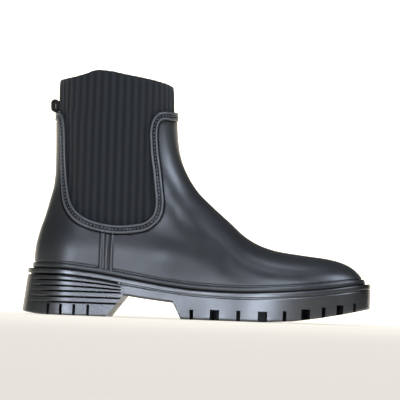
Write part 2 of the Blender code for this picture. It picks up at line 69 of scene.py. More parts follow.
# Front line of the upper, from the toe to the collar: height, x
FRONT_LINE = (
    (33.2, TOE_END), (36.2, 279.1), (41.2, 275.6), (47.2, 268.4), (50.3, 261.8), (53.4, 249.2),
    (55.8, 227.2), (58.4, 207.4), (62.2, 194.2), (68.4, 182.4), (80.2, 168.5), (91.8, 154.8),
    (103.4, 142.3), (116.0, 133.4), (128.5, 127.5), (141.0, 124.4), (154.0, 122.8), (168.0, 122.2),
    (186.0, 121.2), (TOP, 119.2),
)

# Top of the sole along the foot: x, height
SOLE_TOP = (
    (0.0, 37.6), (30.0, 37.4), (60.0, 35.0), (89.0, 30.8), (122.0, 26.0), (145.0, 23.8), (175.0, 23.0),
    (210.0, 24.4), (250.0, 28.4), (285.0, 34.2),
)

# Half widths of the upper at its base before the ends are rounded: x, outer side, inner side
BASE_WIDTH = (
    (0.0, 31.6, 31.6), (40.0, 31.8, 31.6), (75.0, 31.6, 29.4), (105.0, 33.2, 27.8), (135.0, 38.2, 32.0),
    (165.0, 43.6, 39.4), (190.0, 46.0, 44.4), (212.0, 46.0, 46.6), (240.0, 45.0, 46.0), (285.0, 43.0, 43.0),
)

# Half width of heel and shaft and the depth of their rounding at the back: height, half width, back depth
SHAFT_WIDTH = (
    (30.0, 31.8, 38.5), (50.0, 32.2, 38.5), (70.0, 30.4, 40.8), (90.0, 30.0, 44.3), (110.0, 31.2, 47.8),
    (130.0, 33.2, 49.0), (150.0, 35.0, 49.0), (170.0, 36.2, 49.0), (TOP, 37.2, 49.0),
)
# Depth of the rounding at the front, its fullness, and the rise over which the base turns into the shaft
FRONT_DEPTH = 56.0
ROUND_POWER = 2.6
SHAFT_RISE = 32.0
# Places and heights between which the shaft's form turns into the foot's
FOOT_START, FOOT_FULL = 88.0, 148.0
FOOT_HIGH, FOOT_NONE = 78.0, 128.0

# Soft troughs and ridges of the worn-in wall: side, x, height, half length, half height, slant, lift
SOFT_FORMS = (
    (-1, 134.0, 60.0, 36.0, 9.0, -0.34, -0.4), (-1, 156.0, 66.0, 26.0, 6.0, -0.17, 0.2),
    (1, 134.0, 60.0, 36.0, 9.0, -0.34, -0.5), (1, 156.0, 66.0, 26.0, 6.0, -0.17, 0.3),
    (-1, 98.0, 78.0, 30.0, 14.0, -0.1, -0.8), (1, 98.0, 78.0, 30.0, 14.0, -0.1, -0.7),
    (-1, 112.0, 56.0, 45.0, 8.0, -0.15, 0.5), (1, 112.0, 56.0, 45.0, 8.0, -0.15, 0.4),
    (-1, 30.0, 66.0, 12.0, 9.0, 0.0, 0.35), (1, 30.0, 64.0, 12.0, 9.0, 0.0, 0.35),
)

# Edge of the rubber round the top and the side cut-outs: turn, height
COLLAR = (
    (0.0, 165.0), (0.33, 165.0), (0.475, 163.2), (0.56, 157.5), (0.593, 148.5), (0.60, 135.0),
    (0.62, 117.0), (0.72, 98.0), (0.90, 83.5), (1.12, 76.4), (1.35, 74.0), (1.60, 76.2), (1.76, 82.0),
    (1.90, 92.0), (2.06, 110.0), (2.15, 126.0), (2.18, 140.0), (2.195, 151.0), (2.25, 160.5),
    (2.38, 166.4), (2.58, 168.0), (math.pi, 168.0),
)
# Girth of one unit of turn at the collar, and height of the rubber's top
GIRTH_PER_TURN = 41.0
RUBBER_TOP = 168.0
# Height of the plain shell over the rubber's top, and reach of the cutter that trims it along the collar
SHELL_OVER, CUT_OVER, CUT_IN, CUT_OUT = 4.0, 12.0, -7.0, 5.0

# Section of the trim band round the collar: distance from the rubber's edge, lift off the wall
TRIM_BAND = (
    (-0.25, -1.6), (-0.3, 0.1), (-0.1, 0.5), (0.25, 0.8), (0.75, 0.95), (1.25, 0.85), (1.65, 0.55),
    (1.95, 0.1), (2.25, -0.3), (3.1, -0.35), (3.95, -0.3), (4.2, 0.1), (4.5, 0.6), (4.9, 0.9), (5.4, 1.0),
    (5.9, 0.85), (6.3, 0.5), (6.65, 0.0), (7.0, -0.4), (7.0, -1.6),
)
# Narrow groove along the band's outer edge
TRIM_GROOVE = ((6.7, -0.75), (6.7, 2.0), (7.9, 2.0), (7.7, -0.4))
# Rows of the trim that get painted shade, and the crests of its ridges that get a painted highlight
TRIM_PAINTED_SHADE = ((2.25, -0.3), (3.1, -0.35), (3.95, -0.3), (6.7, -0.75), (7.7, -0.4))
TRIM_PAINTED_HIGHLIGHT = ((0.25, 0.8), (0.75, 0.95), (1.25, 0.85), (4.9, 0.9), (5.4, 1.0), (5.9, 0.85))
TRIM_BLEND = 1.2
STITCH_LINE, STITCH_LIFT = 3.1, 0.25
STITCH_PITCH, STITCH_LENGTH, STITCH_THICKNESS = 3.0, 2.0, 1.25

# Bead at the foot of the upper with the groove over it: rise over the sole, lift off the wall
BEAD = (
    (-0.3, -0.6), (0.3, 0.0), (0.6, 0.6), (1.2, 0.95), (3.9, 0.95), (4.5, 0.75), (4.8, 0.1), (5.0, -0.8),
    (5.7, -0.8), (6.0, -0.15), (6.4, 0.0), (7.2, 0.0),
)

# Ridged side seam: share of its width, lift off the wall
SEAM_REAR, SEAM_FRONT = 63.6, 76.8
SEAM_RIDGES = (
    (0.0, -0.5), (0.05, 0.1), (0.1, 0.6), (0.16, 0.95), (0.22, 0.85), (0.28, 0.35), (0.34, 0.1),
    (0.4, 0.35), (0.45, 0.85), (0.51, 0.95), (0.57, 0.8), (0.62, 0.35), (0.67, 0.1), (0.73, 0.35),
    (0.78, 0.85), (0.84, 0.95), (0.9, 0.6), (0.95, 0.1), (1.0, -0.5),
)
SEAM_LOW, SEAM_HIGH, SEAM_UNDER = 4.2, 69.4, -1.3

# Knit sock: turn, height of its hidden lower edge, height of its top edge
SOCK_EDGES = (
    (0.0, 102.0, 191.6), (0.35, 96.0, 192.0), (0.72, 80.0, 193.2), (1.0, 69.0, 195.4),
    (1.3, 62.0, 199.2), (1.5, 62.6, 198.6), (1.75, 66.0, 196.6), (2.1, 76.0, 194.4),
    (2.6, 95.0, 191.8), (math.pi, 106.0, 189.8),
)
SOCK_WALL = 2.3
SOCK_GAP = 0.6
# Bulge in the cut-outs: its height, where it starts and how it swells from the rubber's edge inward
SOCK_BULGE, SOCK_EDGE, SOCK_EASE = 1.5, 1.5, 11.0
# Height from which the bulge fades under the collar, and run of the fade
SOCK_FADE_LOW, SOCK_FADE_RUN = 158.0, 16.0
# Share of the sleeve's height where its rounded top starts, and the rounding: share, depth into the wall
SOCK_HEM = 0.992
SOCK_RIM = ((1.0, 0.45), (1.004, 0.9))
RIB_COUNT = 44
RIB_COLUMNS = 10
RIB_HEIGHT = 0.8
# Run over which the ribs fade at the top, the share of them that is left there and inside the sleeve
RIB_FADE, RIB_END, RIB_INSIDE = 7.0, 0.25, 0.5
RIB_LEVEL = 180.0
# Places ahead of which, and behind which, the ribs start to follow the front and back lines
RIB_BEND, RIB_BEND_REAR = 100.0, 45.0
# Wave of one rib: reach of its flanks, and shares of its height below and above the sleeve
RIB_FLANK, RIB_SINK, RIB_RISE = 0.75, -0.7, 0.3

# Sole: lowest line of the forefoot and waist, x, height
SOLE_BOTTOM = (
    (0.0, 17.5), (86.0, 17.5), (104.0, 15.2), (126.0, 13.0), (133.0, 0.0), (200.0, 0.0), (224.0, 1.6),
    (245.0, 4.8), (265.0, 8.8), (285.0, 13.4),
)
# Side of the sole from the top down: depth below the top, inset at the forefoot, inset at the heel
SOLE_LIP = (
    (0.0, 1.3, 1.3), (0.12, 0.7, 0.7), (0.45, 0.2, 0.2), (0.95, 0.0, 0.0), (3.3, 0.0, 0.0),
    (3.75, 0.2, 0.4), (4.1, 0.9, 2.6), (4.6, 0.9, 2.6), (4.95, 0.2, 2.6), (5.4, 0.0, 2.6), (6.1, 0.0, 2.6),
)
# The same near the ground: rise over the lowest line, inset at the forefoot, inset at the heel
SOLE_FOOT = ((2.2, 0.0, 2.6), (1.5, 0.0, 2.6), (0.7, 0.2, 2.7), (0.2, 0.6, 2.9), (0.0, 1.2, 3.2))
# Places of the sections along the heel, and along the sole ahead of it
HEEL_STATIONS = (
    4.5, 4.8, 5.2, 5.9, 6.8, 8.1, 9.6, 11.4, 13.5, 16.0, 19.0, 22.4, 26.0, 30.0, 34.0, 39.0, 44.0, 50.0,
    56.0, 63.0, 70.0, 78.0, 86.0,
)
SOLE_STATIONS = (
    81.0, 82.5, 84.0, 89.0, 94.0, 99.0, 104.0, 109.5, 115.0, 120.5, 126.0, 133.0, 139.0, 146.0, 153.0,
    160.0, 167.0, 174.0, 180.5, 187.0, 193.5, 200.0, 206.0, 212.0, 218.0, 224.0, 229.5, 235.0, 240.0,
    245.0, 250.0, 255.0, 259.0, 263.0, 266.5, 270.0, 273.0, 275.5, 277.7, 279.5, 281.1, 282.4, 283.4,
    284.1, 284.6, 284.9,
)

# Heel block: height, drop of its top below the sole's, front end, end of the inset over it, flare and bevel
HEEL_HEIGHT = 32.4
HEEL_DROP = 5.2
HEEL_FRONT = 86.0
HEEL_INSET_END = (81.0, 84.0)
HEEL_FLARE_REAR, HEEL_FLARE_SIDE, HEEL_FLARE_RUN = 4.0, 1.2, 40.0
HEEL_BEVEL, HEEL_BEVEL_RUN = 3.6, 26.0
# Rounded upper and lower edges of the block: depth below its top or rise over its foot, inset
HEEL_HEAD = ((0.0, 1.0), (0.3, 0.3), (0.9, 0.0))
HEEL_FOOT = ((1.4, 0.0), (0.5, 0.35), (0.0, 1.1))
# Heights of the grooves between the heel's ribs. Those above the fixed one follow the slope of the top.
HEEL_GROOVES = (28.4, 23.9, 19.5, 15.0, 10.5)
GROOVE_FIXED = 19.5
# Section of one groove: rise from its middle, share of its depth
GROOVE_SECTION = (
    (0.95, 0.0), (0.65, 0.15), (0.4, 0.9), (0.0, 1.0), (-0.4, 0.9), (-0.65, 0.15), (-0.95, 0.0),
)
GROOVE_DEPTH = 1.25
# Places between which the grooves run out toward the back
GROOVE_REAR = (9.0, 20.0)
# Sloping front of the heel, and reach of the block that cuts it
BREAST_FOOT, BREAST_HEAD, BREAST_RISE = 72.0, 85.2, 17.2
BREAST_UNDER, BREAST_AHEAD, BREAST_HALF = -4.0, 110.0, 60.0

# Notches between the lugs at the side of the sole: x, width, depth inward, height
NOTCHES = (
    (25.4, 2.2, 9.0, 9.2), (35.4, 2.2, 9.0, 9.2), (46.1, 2.2, 9.0, 9.2), (57.4, 2.2, 9.0, 9.2),
    (141.7, 3.0, 12.0, 8.0), (160.5, 7.6, 15.0, 8.6), (179.8, 3.2, 12.0, 8.6), (199.2, 7.6, 15.0, 8.6),
    (216.9, 3.2, 12.0, 8.6), (233.7, 7.4, 15.0, 8.6), (248.0, 3.2, 12.0, 8.4), (261.0, 6.4, 13.0, 8.0),
    (272.6, 3.0, 10.0, 7.4),
)
# Reach of the cutters past the sole's edge, and below the ground
CUT_PAST, CUT_UNDER = 7.0, -3.0
# Tread under the forefoot and the heel: a ring groove inside the lugs and cross grooves inside the ring
RING_INSET, RING_WIDTH, TREAD_DEPTH = 19.0, 4.6, 5.2
RING_REAR, RING_FRONT = 142.0, 258.0
CROSS_GROOVES = (158.0, 177.0, 196.0, 215.0, 234.0)
CROSS_WIDTH, CROSS_DEPTH = 4.4, 4.6
# Pocket under the heel: rear, front, half width, depth
HEEL_POCKET = (24.0, 58.0, 13.0, 4.4)
# Insets between which the notches, and the grooves between the heel's ribs, turn dark with painted shade
NOTCH_DARK = (3.2, 6.0)
GROOVE_DARK = (0.3, 1.0)
# Ribbed part of the heel's side: from this far below its lowest groove to this far under the sole's top
RIBBED_BELOW, RIBBED_UNDER = 2.0, 3.5

# Insole and pull loop
INSOLE_THICK = 3.0
INSOLE_INSET, INSOLE_RISE = 0.7, 0.5
# Rounding of the insole's edge: its depth, and the part of the width on each side, one in this many
INSOLE_ROUND, INSOLE_PART = 0.9, 5.0
# Turn that is left open at both ends of the insole
INSOLE_END = 0.05
LOOP_LOW, LOOP_TALL, LOOP_DEEP = 165.8, 10.4, 6.7
LOOP_STRAP, LOOP_WIDTH, LOOP_CORNER, LOOP_TIGHT = 2.7, 13.0, 3.2, 0.6
# Rounding of the strap's edges: depth into the strap, share of the width that is flat
LOOP_EDGE, LOOP_FLAT = 0.25, 0.97
LOOP_PER_TURN = 44.0

# Mesh counts, with the crowding of rows toward the toe
SHELL_TURNS = 280
SHELL_ROWS = 84
TOE_CROWDING = 1.1
INNER_ROWS = 24
SOCK_ROWS = 48
COLLAR_STEPS = 260
SEAM_STEPS = 26
INSOLE_STEPS, INSOLE_ACROSS = 60, 15
LOOP_ACROSS, LOOP_ARC = 13, 9
RING_STEPS = 28
STATION_PARTS = 4
PLAN_STEPS = 720
FINE_STEPS = 2000
FRONT_STEPS = 3000
RIDGE_STEPS, RIDGE_TAIL = 6000, 200
EDGE_STRIDE = 4

# Small steps for slopes on the wall, and first height and rounds of the search for its foot
TURN_STEP, RISE_STEP = 0.004, 0.1
FOOT_GUESS, FOOT_ROUNDS = 30.0, 12
# Least height of the foot's section, so that it has one at the toe's end
LEAST_RISE = 0.2
# Turn from which the shell's rows begin to follow the front line, and run of that change
ROWS_TURN, ROWS_RUN = 0.4, 1.2

# Angles past which an edge is drawn hard
SHARP = math.radians(38)
SOLE_SHARP = math.radians(24)
SOFT_SHARP = math.radians(60)

# Camera, in metres and degrees, with its lens in millimetres
CAMERA_TARGET = (0.0, 0.0, 0.098)
CAMERA_AWAY = 3.0
CAMERA_HEIGHT = 0.012
CAMERA_YAW = 3.0
CAMERA_ROLL = 2.1
CAMERA_LENS = 330.0

# Paper sweep: floor reach, start and radius of the bend, and top of the backdrop, in metres
SWEEP_REACH, SWEEP_BEND, SWEEP_ROUND, SWEEP_TOP = 4.5, 3.3, 0.6, 0.9
SWEEP_STEPS, SWEEP_FIRST = 12, 0.1
# Tones of the paper near and far from the camera, darker near it as painted shade, and ends in y of the
# change of tone and of glow
PAPER_NEAR, PAPER_FAR = "#dad5c9", "#f7f3e9"
PAPER_TONE = (-2.5, -0.3)
PAPER_GLOW = (-2.6, -0.9)
GLOW_NEAR, GLOW_FAR = 0.1, 0.56

# Soft panels that show in the gloss only: name, place, point faced, size, power
PANEL_COLOUR = "#e0ebff"
GLOSS_PANELS = (
    ("front_panel", (0.5, -1.23, 0.6), (0.08, 0.0, 0.04), (0.55, 0.2), 9.0),
    ("top_panel", (0.05, -0.55, 1.35), (0.0, 0.0, 0.08), (0.9, 0.3), 4.0),
    ("crown_panel", (0.0, 0.1, 1.5), (0.0, 0.0, 0.1), (1.0, 0.3), 6.0),
    ("low_left_panel", (-0.42, -1.34, 0.08), (0.0, 0.0, 0.02), (0.3, 0.12), 5.0),
    ("low_right_panel", (0.2, -1.4, 0.07), (0.05, 0.0, 0.02), (0.4, 0.12), 6.0),
    ("right_panel", (1.15, -0.3, 0.72), (0.0, 0.0, 0.12), (0.45, 0.7), 14.0),
)
# Soft panels that light the boot and the paper without showing in the gloss
FILL_PANELS = (
    ("fill_panel", (0.0, -3.6, 2.0), (0.0, 0.0, 0.1), (2.0, 1.0), 80.0, "#f4f6ff"),
    ("paper_panel", (0.0, 2.0, 2.4), (0.0, 3.4, 0.2), (4.0, 1.6), 120.0, "#fffaf2"),
)
ROOM_COLOUR, ROOM_LIGHT = "#dfe3ea", 0.12
# Dark card ahead of the toe: its ends on the floor, height, colour
CARD_NEAR, CARD_FAR, CARD_HEIGHT, CARD_COLOUR = (0.36, -0.3), (0.42, 0.35), 0.14, "#0c0c0d"

# Rubber: width of its clouds and patches, swell of the clouds for each unit of grain, roughness range
CLOUD_MM, PATCH_MM = 26.0, 6.0
CLOUD_SWELL = 25
SHINIER, DULLER = 0.04, 0.05
# Ends of a noise texture's usual range
NOISE_LOW, NOISE_HIGH = 0.3, 0.7
# Painted highlight colour for the trim's crests; painted shade colour and duller gloss for grooves and
# notches
PAINTED_HIGHLIGHT_COLOUR, SHADED_COLOUR, SHADED_GLOSS = "#555a60", "#060607", 0.05
RUBBER_IOR = 1.52
# Knit: height and lean of its stitches, width of its nap, depths of both
KNIT_STITCH_MM, KNIT_LEAN, KNIT_NAP_MM = 1.6, 0.9, 0.5
KNIT_STITCH_DEPTH_MM, KNIT_NAP_DEPTH_MM = 0.12, 0.2
# Ends of the ribs' wave between which the knit turns from painted shade to painted light
KNIT_DARK, KNIT_LIGHT = -0.6, 0.7
# Cloth: width of its fibres, depths of weave and fibres
FIBRE_MM, WEAVE_DEPTH_MM, FIBRE_DEPTH_MM = 0.4, 0.15, 0.1


def slopes(x, y):
    """Monotone cubic slopes at the rows of a table."""
    step = np.diff(x)
    rate = np.diff(y) / step
    inner = np.zeros(len(x))
    for i in range(1, len(x) - 1):
        if rate[i - 1] * rate[i] > 0:
            left = 2 * step[i] + step[i - 1]
            right = step[i] + 2 * step[i - 1]
            inner[i] = (left + right) / (left / rate[i - 1] + right / rate[i])
    inner[0] = rate[0]
    inner[-1] = rate[-1]
    return inner


def smooth_table(rows, column=1, level_ends=False):
    """A smooth function through one column of a table, constant beyond its ends."""
    x = np.array([row[0] for row in rows], float)
    y = np.array([row[column] for row in rows], float)
    slope = slopes(x, y)
    if level_ends:
        slope[[0, -1]] = 0.0

    def value(at):
        at = np.clip(np.asarray(at, float), x[0], x[-1])
        i = np.clip(np.searchsorted(x, at) - 1, 0, len(x) - 2)
        step = x[i + 1] - x[i]
        t = (at - x[i]) / step
        start = (1 + 2 * t) * (1 - t) ** 2 * y[i] + t * (1 - t) ** 2 * step * slope[i]
        end = t * t * (3 - 2 * t) * y[i + 1] - t * t * (1 - t) * step * slope[i + 1]
        return start + end

    return value


def fair_table(rows, column):
    """A natural cubic curve through one column of a table, with no jump in its bend."""
    x = np.array([row[0] for row in rows], float)
    y = np.array([row[column] for row in rows], float)
    step = np.diff(x)
    system = np.eye(len(x))
    change = np.zeros(len(x))
    for i in range(1, len(x) - 1):
        system[i, i - 1:i + 2] = step[i - 1], 2 * (step[i - 1] + step[i]), step[i]
        change[i] = 6 * ((y[i + 1] - y[i]) / step[i] - (y[i] - y[i - 1]) / step[i - 1])
    bend = np.linalg.solve(system, change)

    def value(at):
        at = np.clip(np.asarray(at, float), x[0], x[-1])
        i = np.clip(np.searchsorted(x, at) - 1, 0, len(x) - 2)
        before = (x[i + 1] - at) / step[i]
        after = 1 - before
        curve = (before ** 3 - before) * bend[i] + (after ** 3 - after) * bend[i + 1]
        return before * y[i] + after * y[i + 1] + curve * step[i] ** 2 / 6

    return value


def straight_table(rows, column=1):
    """A function in straight lines through one column of a table."""
    x = [row[0] for row in rows]
    y = [row[column] for row in rows]
    return lambda at: np.interp(at, x, y)


def ease(t):
    """Smooth step from 0 to 1, with no sudden bend at its ends."""
    t = np.clip(t, 0.0, 1.0)
    return t ** 3 * (10 - 15 * t + 6 * t * t)


def run_along(points):
    """Distance along a row of points, from its first one."""
    steps = np.linalg.norm(np.diff(points, axis=0), axis=1)
    return np.concatenate([[0.0], np.cumsum(steps)])


def bow(t):
    """Rounded end from 0 to 1 that flattens out towards 1, and is level after it."""
    return np.sqrt(np.clip(1 - (1 - np.clip(t, 0.0, 1.0)) ** ROUND_POWER, 0.0, 1.0))


back_x = smooth_table(BACK_LINE)
front_x = smooth_table(FRONT_LINE)
sole_top = smooth_table(SOLE_TOP)
sole_bottom = straight_table(SOLE_BOTTOM)
base_outer = fair_table(BASE_WIDTH, 1)
base_inner = fair_table(BASE_WIDTH, 2)
shaft_half = fair_table(SHAFT_WIDTH, 1)
back_depth = fair_table(SHAFT_WIDTH, 2)
sock_low = smooth_table(SOCK_EDGES, 1, level_ends=True)
sock_high = smooth_table(SOCK_EDGES, 2, level_ends=True)

RIDGE_Z = np.linspace(FRONT_LINE[0][0], FOOT_NONE, RIDGE_STEPS)
RIDGE_X = front_x(RIDGE_Z)
RIDGE_SLOPE = (RIDGE_Z[-1] - RIDGE_Z[-RIDGE_TAIL]) / (RIDGE_X[-1] - RIDGE_X[-RIDGE_TAIL])


def ridge_z(x):
    """Height of the front line over x, carried on straight where the foot's form ends."""
    behind = RIDGE_Z[-1] + RIDGE_SLOPE * (x - RIDGE_X[-1])
    return np.where(x < RIDGE_X[-1], behind, np.interp(x, RIDGE_X[::-1], RIDGE_Z[::-1]))


def centre_y(x):
    """The foot's middle line, which swings to the inner side at the toe."""
    return TOE_SWING * ease((x - SWING_START) / SWING_RUN)


def half_width(x, z, inner):
    """Half width of the upper at a point of its side view."""
    base = np.where(inner, base_inner(x), base_outer(x))
    low = sole_top(x)
    shaft = base + (shaft_half(z) - base) * ease((z - low) / SHAFT_RISE)
    shaft = shaft * bow((x - back_x(z)) / back_depth(z)) * bow((front_x(z) - x) / FRONT_DEPTH)
    toe = np.sqrt(1 - np.clip(1 - (TOE_END - x) / TOE_ROUND, 0.0, 1.0) ** TOE_POWER)
    share = np.clip((z - low) / np.maximum(ridge_z(x) - low, LEAST_RISE), 0.0, 1.0)
    foot = base * toe * np.sqrt(1 - share ** SECTION_POWER)
    along = ease((x - FOOT_START) / (FOOT_FULL - FOOT_START))
    down = 1 - ease((z - FOOT_HIGH) / (FOOT_NONE - FOOT_HIGH))
    return shaft + (foot - shaft) * along * down


def surface(turn, z):
    """Point on the outside of the upper's plain wall."""
    turn, z = np.broadcast_arrays(np.asarray(turn, float), np.asarray(z, float))
    rear = back_x(z)
    x = rear + (front_x(z) - rear) * (1 - np.cos(turn)) / 2
    y = centre_y(x) + np.sin(turn) / np.maximum(abs(np.sin(turn)), 1e-9) * half_width(x, z, turn > 0)
    return np.stack([x, y, z], axis=-1)


def skin(turn, z, lift):
    """Point at a lift off the plain wall, along the wall's own normal."""
    turn, z = np.broadcast_arrays(np.asarray(turn, float), np.asarray(z, float))
    along = surface(turn + TURN_STEP, z) - surface(turn - TURN_STEP, z)
    up = surface(turn, z + RISE_STEP) - surface(turn, z - RISE_STEP)
    normal = np.cross(up, along)
    normal /= np.linalg.norm(normal, axis=-1, keepdims=True)
    return surface(turn, z) + normal * np.asarray(lift, float)[..., None]


def soft_form(turn, z):
    """Lift of the wall's soft troughs and ridges."""
    x = surface(turn, z)[..., 0]
    lift = np.zeros(np.shape(x))
    for side, middle, height, long, tall, slant, rise in SOFT_FORMS:
        forward = (x - middle) * math.cos(slant) + (z - height) * math.sin(slant)
        upward = (z - height) * math.cos(slant) - (x - middle) * math.sin(slant)
        lift += rise * np.exp(-(forward / long) ** 2 - (upward / tall) ** 2) * (np.sign(turn) == side)
    return lift


def base_z(turn, rise):
    """Height of the line that runs round the upper at a rise over the sole's top."""
    z = np.full(np.shape(turn), FOOT_GUESS)
    for _ in range(FOOT_ROUNDS):
        z = sole_top(surface(turn, z)[..., 0]) + rise
    return z


def turn_at(x, z):
    """Turn on the inner side of the point with this x and height."""
    rear = back_x(z)
    return np.arccos(np.clip(1 - 2 * (x - rear) / (front_x(z) - rear), -1.0, 1.0))


def ring_turns(count):
    """Even turns once round, with one on the back line and one on the front line."""
    return (np.arange(count) - count // 2) * (2 * math.pi / count)


def plan_outline(lift):
    """Plan of the upper's foot moved outward by a lift: outer and inner edges, from heel to toe."""
    turn = np.linspace(-math.pi, math.pi, 2 * PLAN_STEPS + 1)
    foot = surface(turn, base_z(turn, 0.0))[:, :2]
    along = np.gradient(foot, axis=0)
    along[0] = along[-1] = foot[1] - foot[-2]
    along /= np.linalg.norm(along, axis=1, keepdims=True)
    moved = foot + lift * np.stack([-along[:, 1], along[:, 0]], axis=1)
    return moved[PLAN_STEPS::-1], moved[PLAN_STEPS:]


PLAN_FOOT = plan_outline(0.0)
PLAN_LEDGE = plan_outline(LEDGE)


def edge_point(plan, share, inner):
    """Point on a plan's edge at a share of the length."""
    rows = plan[1] if inner else plan[0]
    x = rows[0, 0] + (rows[-1, 0] - rows[0, 0]) * share
    return np.array([x, np.interp(x, rows[:, 0], rows[:, 1])])


def rim(x, lift, inner):
    """Point of the sole's edge beside x on its ledge line, moved in or out to another lift."""
    rows = PLAN_LEDGE[1]
    share = (x - rows[0, 0]) / (rows[-1, 0] - rows[0, 0])
    foot = edge_point(PLAN_FOOT, share, inner)
    ledge = edge_point(PLAN_LEDGE, share, inner)
    return foot + (ledge - foot) * lift / LEDGE


def sole_section(x):
    """Section of the forefoot, waist and lip: down the outer side and up the inner side."""
    heel = 1 - ease((x - HEEL_INSET_END[0]) / (HEEL_INSET_END[1] - HEEL_INSET_END[0]))
    low = float(sole_bottom(x))
    high = float(sole_top(x))
    levels = [(high - depth, fore + (rear - fore) * heel) for depth, fore, rear in SOLE_LIP]
    levels += [(low + rise, fore + (rear - fore) * heel) for rise, fore, rear in SOLE_FOOT]
    outer = [(*rim(x, LEDGE - inset, False), z) for z, inset in levels]
    inner = [(*rim(x, LEDGE - inset, True), z) for z, inset in reversed(levels)]
    return outer + inner


def heel_levels(x):
    """Heights and insets of the heel block's side, from the top down."""
    top = float(sole_top(x)) - HEEL_DROP
    low = HEEL_BEVEL * max(0.0, 1 - x / HEEL_BEVEL_RUN) ** 2
    deep = GROOVE_DEPTH * float(ease((x - GROOVE_REAR[0]) / (GROOVE_REAR[1] - GROOVE_REAR[0])))
    levels = [(top - depth, inset) for depth, inset in HEEL_HEAD]
    for groove in HEEL_GROOVES:
        z = groove
        if groove > GROOVE_FIXED:
            z = GROOVE_FIXED + (groove - GROOVE_FIXED) * (top - GROOVE_FIXED) / (HEEL_HEIGHT - GROOVE_FIXED)
        levels += [(z + rise, deep * share) for rise, share in GROOVE_SECTION]
    return levels + [(low + rise, inset) for rise, inset in HEEL_FOOT]


def heel_section(x):
    """Section of the heel block, which flares out toward the ground."""
    flare = HEEL_FLARE_SIDE + (HEEL_FLARE_REAR - HEEL_FLARE_SIDE) * (1 - float(ease(x / HEEL_FLARE_RUN)))
    points = []
    for inner, levels in ((False, heel_levels(x)), (True, heel_levels(x)[::-1])):
        for z, inset in levels:
            lift = LEDGE - inset + flare * (1 - z / HEEL_HEIGHT)
            points.append((*rim(x, lift, inner), z))
    return points


def sole_origin():
    """Middle of the boot's plan, which is the frame's origin on the ground."""
    points = [point for x in SOLE_STATIONS for point in sole_section(x)]
    points += [point for x in HEEL_STATIONS for point in heel_section(x)]
    points = np.array(points)
    middle = (points.min(axis=0) + points.max(axis=0)) / 2
    return np.array([middle[0], middle[1], 0.0])


ORIGIN = sole_origin()


def add_mesh(name, points, faces, material=None):
    """A closed mesh with its faces turned outward, at the origin of the boot's frame."""
    mesh = bpy.data.meshes.new(name)
    flat = (np.asarray(points, float).reshape(-1, 3) - ORIGIN) * MM
    mesh.from_pydata(flat.tolist(), [], faces)
    work = bmesh.new()
    work.from_mesh(mesh)
    bmesh.ops.recalc_face_normals(work, faces=work.faces)
    work.to_mesh(mesh)
    work.free()
    obj = bpy.data.objects.new(name, mesh)
    bpy.context.scene.collection.objects.link(obj)
    if material:
        mesh.materials.append(material)
    return obj


def wheel_faces(rows, around):
    """Faces of a grid that closes on itself both ways."""
    faces = []
    for i in range(rows):
        for j in range(around):
            below, above = i * around, (i + 1) % rows * around
            faces.append((below + j, below + (j + 1) % around, above + (j + 1) % around, above + j))
    return faces


def loft_faces(stations, around, first=0):
    """Faces of a row of closed sections. An end is closed level by level from one side to the other."""
    faces = []
    for i in range(stations - 1):
        for j in range(around):
            a = first + i * around + j
            b = first + i * around + (j + 1) % around
            faces.append((a, b, b + around, a + around))
    for end in (first, first + (stations - 1) * around):
        for j in range(around // 2 - 1):
            faces.append((end + j, end + j + 1, end + around - 2 - j, end + around - 1 - j))
    return faces


def add_wheel(name, rows, material=None):
    """A solid from rows of points that close on themselves both ways."""
    rows = np.asarray(rows)
    return add_mesh(name, rows, wheel_faces(rows.shape[0], rows.shape[1]), material)


def add_loft(name, sections, material=None):
    """A solid from a row of closed sections."""
    sections = np.asarray(sections)
    return add_mesh(name, sections, loft_faces(sections.shape[0], sections.shape[1]), material)


def add_blocks(name, blocks):
    """One helper with several separate blocks, each a pair of four-cornered sections."""
    points = np.concatenate([np.asarray(block).reshape(-1, 3) for block in blocks])
    faces = []
    for i in range(len(blocks)):
        faces += loft_faces(2, 4, 8 * i)
    return add_mesh(name, points, faces)


def boolean(obj, other, operation):
    """Join another object to this one or cut it out."""
    modifier = obj.modifiers.new(other.name, "BOOLEAN")
    modifier.operation = operation
    modifier.object = other
    modifier.solver = "MANIFOLD"


def apply_modifiers(obj, helpers=()):
    """Turn the object with its modifiers into a plain mesh and remove the helpers that shaped it."""
    evaluated = obj.evaluated_get(bpy.context.evaluated_depsgraph_get())
    mesh = bpy.data.meshes.new_from_object(evaluated)
    obj.modifiers.clear()
    obj.data = mesh
    mesh.name = obj.name
    for helper in helpers:
        bpy.data.objects.remove(helper)


def smooth(obj, angle=SHARP):
    """Smooth shading with a hard line at each edge sharper than the angle."""
    obj.data.shade_smooth()
    obj.data.set_sharp_from_angle(angle=angle)


def set_uv(obj, values):
    """A UV map from one pair of values, in metres on the piece's own surface, for each vertex."""
    layer = obj.data.uv_layers.new(name="surface")
    corner = np.zeros(len(obj.data.loops), int)
    obj.data.loops.foreach_get("vertex_index", corner)
    layer.data.foreach_set("uv", np.asarray(values, np.float32)[corner].ravel())


def set_value(obj, name, values):
    """A named number on each vertex."""
    attribute = obj.data.attributes.new(name, "FLOAT", "POINT")
    attribute.data.foreach_set("value", np.asarray(values, np.float32).ravel())


def notch_block(x, width, depth, height, inner):
    """Block that cuts one notch into the sole's side, square to its edge."""
    here = rim(x, LEDGE, inner)
    step = 0.5
    along = rim(x + step, LEDGE, inner) - rim(x - step, LEDGE, inner)
    along /= np.linalg.norm(along)
    inward = np.array([along[1], -along[0]]) if inner else np.array([-along[1], along[0]])
    start = here - CUT_PAST * inward
    end = here + depth * inward
    high = height + (float(sole_bottom(x)) if x > HEEL_FRONT else 0.0)
    sections = []
    for side in (-0.5, 0.5):
        near = start + side * width * along
        far = end + side * width * along
        sections.append([(*near, CUT_UNDER), (*far, CUT_UNDER), (*far, high), (*near, high)])
    return sections


